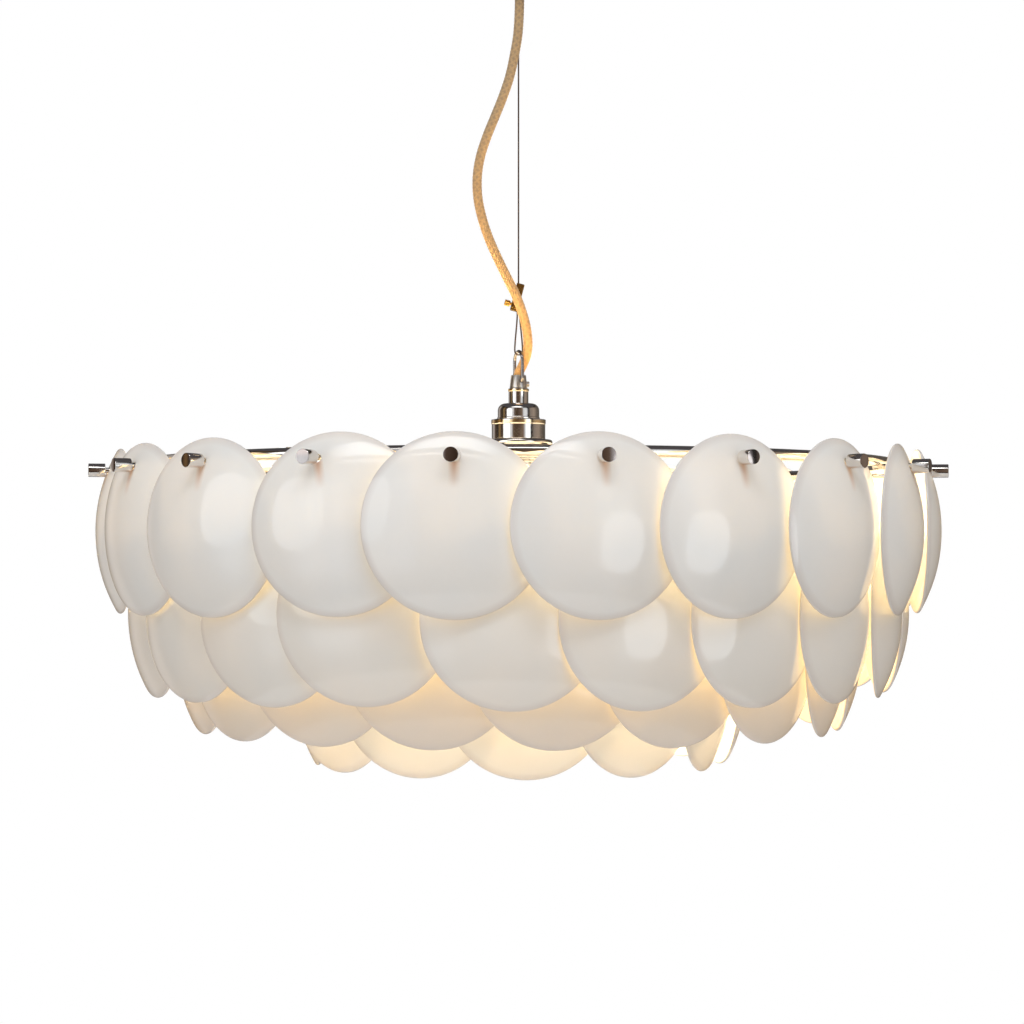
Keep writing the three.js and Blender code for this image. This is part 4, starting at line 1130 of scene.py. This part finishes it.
def mirrored_card(name, vertices, faces, paint):
    """A card that only reflections see."""
    mesh = bpy.data.meshes.new(name)
    mesh.from_pydata(vertices, [], faces)
    mesh.materials.append(paint.material)
    card = placed(name, mesh)
    for rays in ("camera", "diffuse", "transmission", "shadow", "volume_scatter"):
        setattr(card, f"visible_{rays}", False)
    return card


def facing_card(name, wide, tall, paint, place):
    """A card round its own middle, turned to the lamp."""
    corners = [(-wide, -tall, 0), (wide, -tall, 0), (wide, tall, 0), (-wide, tall, 0)]
    facing_lamp(mirrored_card(name, corners, [(0, 1, 2, 3)], paint), *place)


def surround():
    """What the polished metal and the glaze mirror: a ring of card, painted with the studio's windows and
    flags by their bearing, and fading towards its top and foot."""
    steps = 96
    vertices = []
    for azimuth in angles(0, 2 * pi, steps)[:-1]:
        x, y = CARD_RADIUS * sin(azimuth), -CARD_RADIUS * cos(azimuth)
        vertices += [(x, y, CAMERA_HEIGHT - CARD_HEIGHT), (x, y, CAMERA_HEIGHT + CARD_HEIGHT)]
    faces = [(2 * i, 2 * i + 1, 2 * ((i + 1) % steps) + 1, 2 * ((i + 1) % steps)) for i in range(steps)]
    paint = Paint("surround")
    x, y, z = paint.axes()
    bearing = paint.maths("ARCTAN2", x, paint.maths("MULTIPLY", y, -1.0))
    share = paint.span(bearing, -radians(CARD_REACH), radians(CARD_REACH))
    ramp = paint.node("ShaderNodeValToRGB", {0: share})
    stops = ramp.color_ramp.elements
    places = [(bearing + CARD_REACH) / (2 * CARD_REACH) for bearing, *colour in CARD_SHADES]
    for place in places[1:-1]:
        stops.new(place)
    for stop, place, (bearing, *colour) in zip(stops, places, CARD_SHADES):
        stop.position = place
        stop.color = (*colour, 1)
    rise = paint.maths("ABSOLUTE", paint.maths("SUBTRACT", z, CAMERA_HEIGHT + CARD_MIDDLE))
    fade = paint.span(rise, *(share * CARD_HEIGHT for share in CARD_FADE), CARD_BRIGHTNESS, CARD_DIM)
    paint.show(paint.glow(ramp.outputs[0], fade))
    mirrored_card("surround", vertices, faces, paint)


def oval_card(name, azimuth, elevation, distance, wide, tall, soft, strength, low_colour, high_colour, ribs):
    """A lamp with a rounded front as the glaze and the metal mirror it, clear round its edge."""
    paint = Paint(name)
    x, y, z = paint.axes()
    aside, above = paint.maths("DIVIDE", x, wide), paint.maths("DIVIDE", y, tall)
    powers = [paint.maths("POWER", paint.maths("ABSOLUTE", share), OVAL_POWER) for share in (aside, above)]
    edge = paint.span(paint.maths("ADD", *powers), 1.0 - soft, 1.0, 1.0, 0.0)
    level = strength
    if ribs:
        turn = paint.maths("MULTIPLY", paint.maths("ARCTAN2", y, x), ribs / (2 * pi))
        level = paint.span(paint.maths("PINGPONG", turn, 0.5), 0.0, RIB_WIDTH, RIB_SHADE * strength, strength)
    glow = paint.glow(paint.blend(paint.span(above, -0.25, 0.0), low_colour, high_colour), level)
    paint.show_mixed(edge, paint.node("ShaderNodeBsdfTransparent"), glow)
    facing_card(name, wide, tall, paint, (azimuth, elevation, distance))


def round_plate(radius, height, sides):
    """The corners of a level, round plate."""
    return [(radius * cos(turn), radius * sin(turn), height) for turn in angles(0, 2 * pi, sides)[:-1]]


def dark_ceiling():
    """The unlit ceiling that upper faces and rims mirror."""
    paint = Paint("dark_ceiling")
    paint.show(paint.glow(paint.blend(paint.noise(0.8), CEILING_COOL, CEILING_WARM)))
    corners = round_plate(CARD_RADIUS, CAMERA_HEIGHT + CARD_HEIGHT, 48)
    mirrored_card("dark_ceiling", corners, [tuple(range(len(corners)))], paint)


def overhead():
    """The box light over the camera as the glaze mirrors it: a bright sheet within a dimmer frame."""
    paint = Paint("overhead")
    x, y, z = paint.axes()
    aside, along = paint.maths("ABSOLUTE", x), paint.maths("ABSOLUTE", y)
    ends = paint.span(aside, *OVERHEAD_ENDS, 1.0, 0.0)
    strength = OVERHEAD_DIM
    apart = paint.maths("ABSOLUTE", paint.maths("SUBTRACT", along, FRAME_LINE_PLACE))
    for reach, (low, high, power) in ((along, SHEET), (apart, FRAME_LINE)):
        band = paint.maths("MULTIPLY", ends, paint.span(reach, low, high, 1.0, 0.0))
        strength = paint.maths("ADD", strength, paint.maths("MULTIPLY", band, power))
    paint.show(paint.glow((1, 1, 1), strength))
    facing_card("overhead", OVERHEAD_WIDE, OVERHEAD_TALL, paint, OVERHEAD)


def bulb_light():
    """The bulb's light on everything round it, from where its glass is."""
    light = add_light("bulb_light", "POINT", BULB_POWER, BULB_WARM)
    light.data.shadow_soft_size = BULB_LIGHT_RADIUS
    low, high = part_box("bulb_glass")
    light.location = (0, 0, low.z + BULB_LIGHT_RISE)
    light.parent = frame["bodies"]["bulb"]


def studio():
    for name, figures in SOFTBOXES.items():
        softbox(name, *figures)
    surround()
    dark_ceiling()
    overhead()
    for name, figures in OVAL_CARDS.items():
        oval_card(name, *figures)

    world = bpy.data.worlds.new("studio")
    bpy.context.scene.world = world
    world.use_nodes = True
    sky = Nodes(world.node_tree)
    sky.tree.nodes.clear()
    sky.output = sky.node("ShaderNodeOutputWorld")
    way = sky.node("ShaderNodeSeparateXYZ", {0: sky.node("ShaderNodeTexCoord").outputs["Generated"]})
    colour = sky.blend(sky.span(way.outputs["Z"], -0.5, 0.3), ROOM_BELOW, ROOM_ABOVE)
    room, white = (sky.node("ShaderNodeBackground", {"Color": shade}) for shade in (colour, (1, 1, 1)))
    sky.show_mixed(sky.sees_background(), room, white)


def floor():
    """A pale floor that keeps the lamp's shadow. Further out it is seen as white as the background, and
    adds no light to the lamp."""
    corners = round_plate(FLOOR_RADIUS, FLOOR_HEIGHT, 96)
    mesh = bpy.data.meshes.new("floor")
    mesh.from_pydata(corners, [], [tuple(range(len(corners)))])
    paint = Paint("floor", roughness=0.6)
    paint.set(Base_Color=FLOOR)
    far = paint.maths("MULTIPLY", paint.sees_background(), paint.span(paint.reach(), *FLOOR_WHITENS))
    paint.show_mixed(far, paint.shader, paint.glow((1, 1, 1)))
    mesh.materials.append(paint.material)
    placed("floor", mesh)


make_camera()
flex_cord(braid_material())
steel_wire, nickel, steel, ceramic = metal("wire_steel"), metal("nickel"), metal("steel"), ceramic_material()
suspension_wire(steel_wire)
wire_loop(steel_wire)
disc_tiers()
hoops(nickel, metal("cap_face"))
lampholder(nickel, metal("warm_glint_edge"), ceramic)
bulb(steel, bulb_material())
hardware(steel, metal("bail_steel"), metal("brass"))
ceiling_rose(nickel, steel, ceramic)
soften("spider_frame", nickel, 0.0004)
bulb_light()
studio()
floor()

bpy.context.scene.view_settings.view_transform = "Standard"
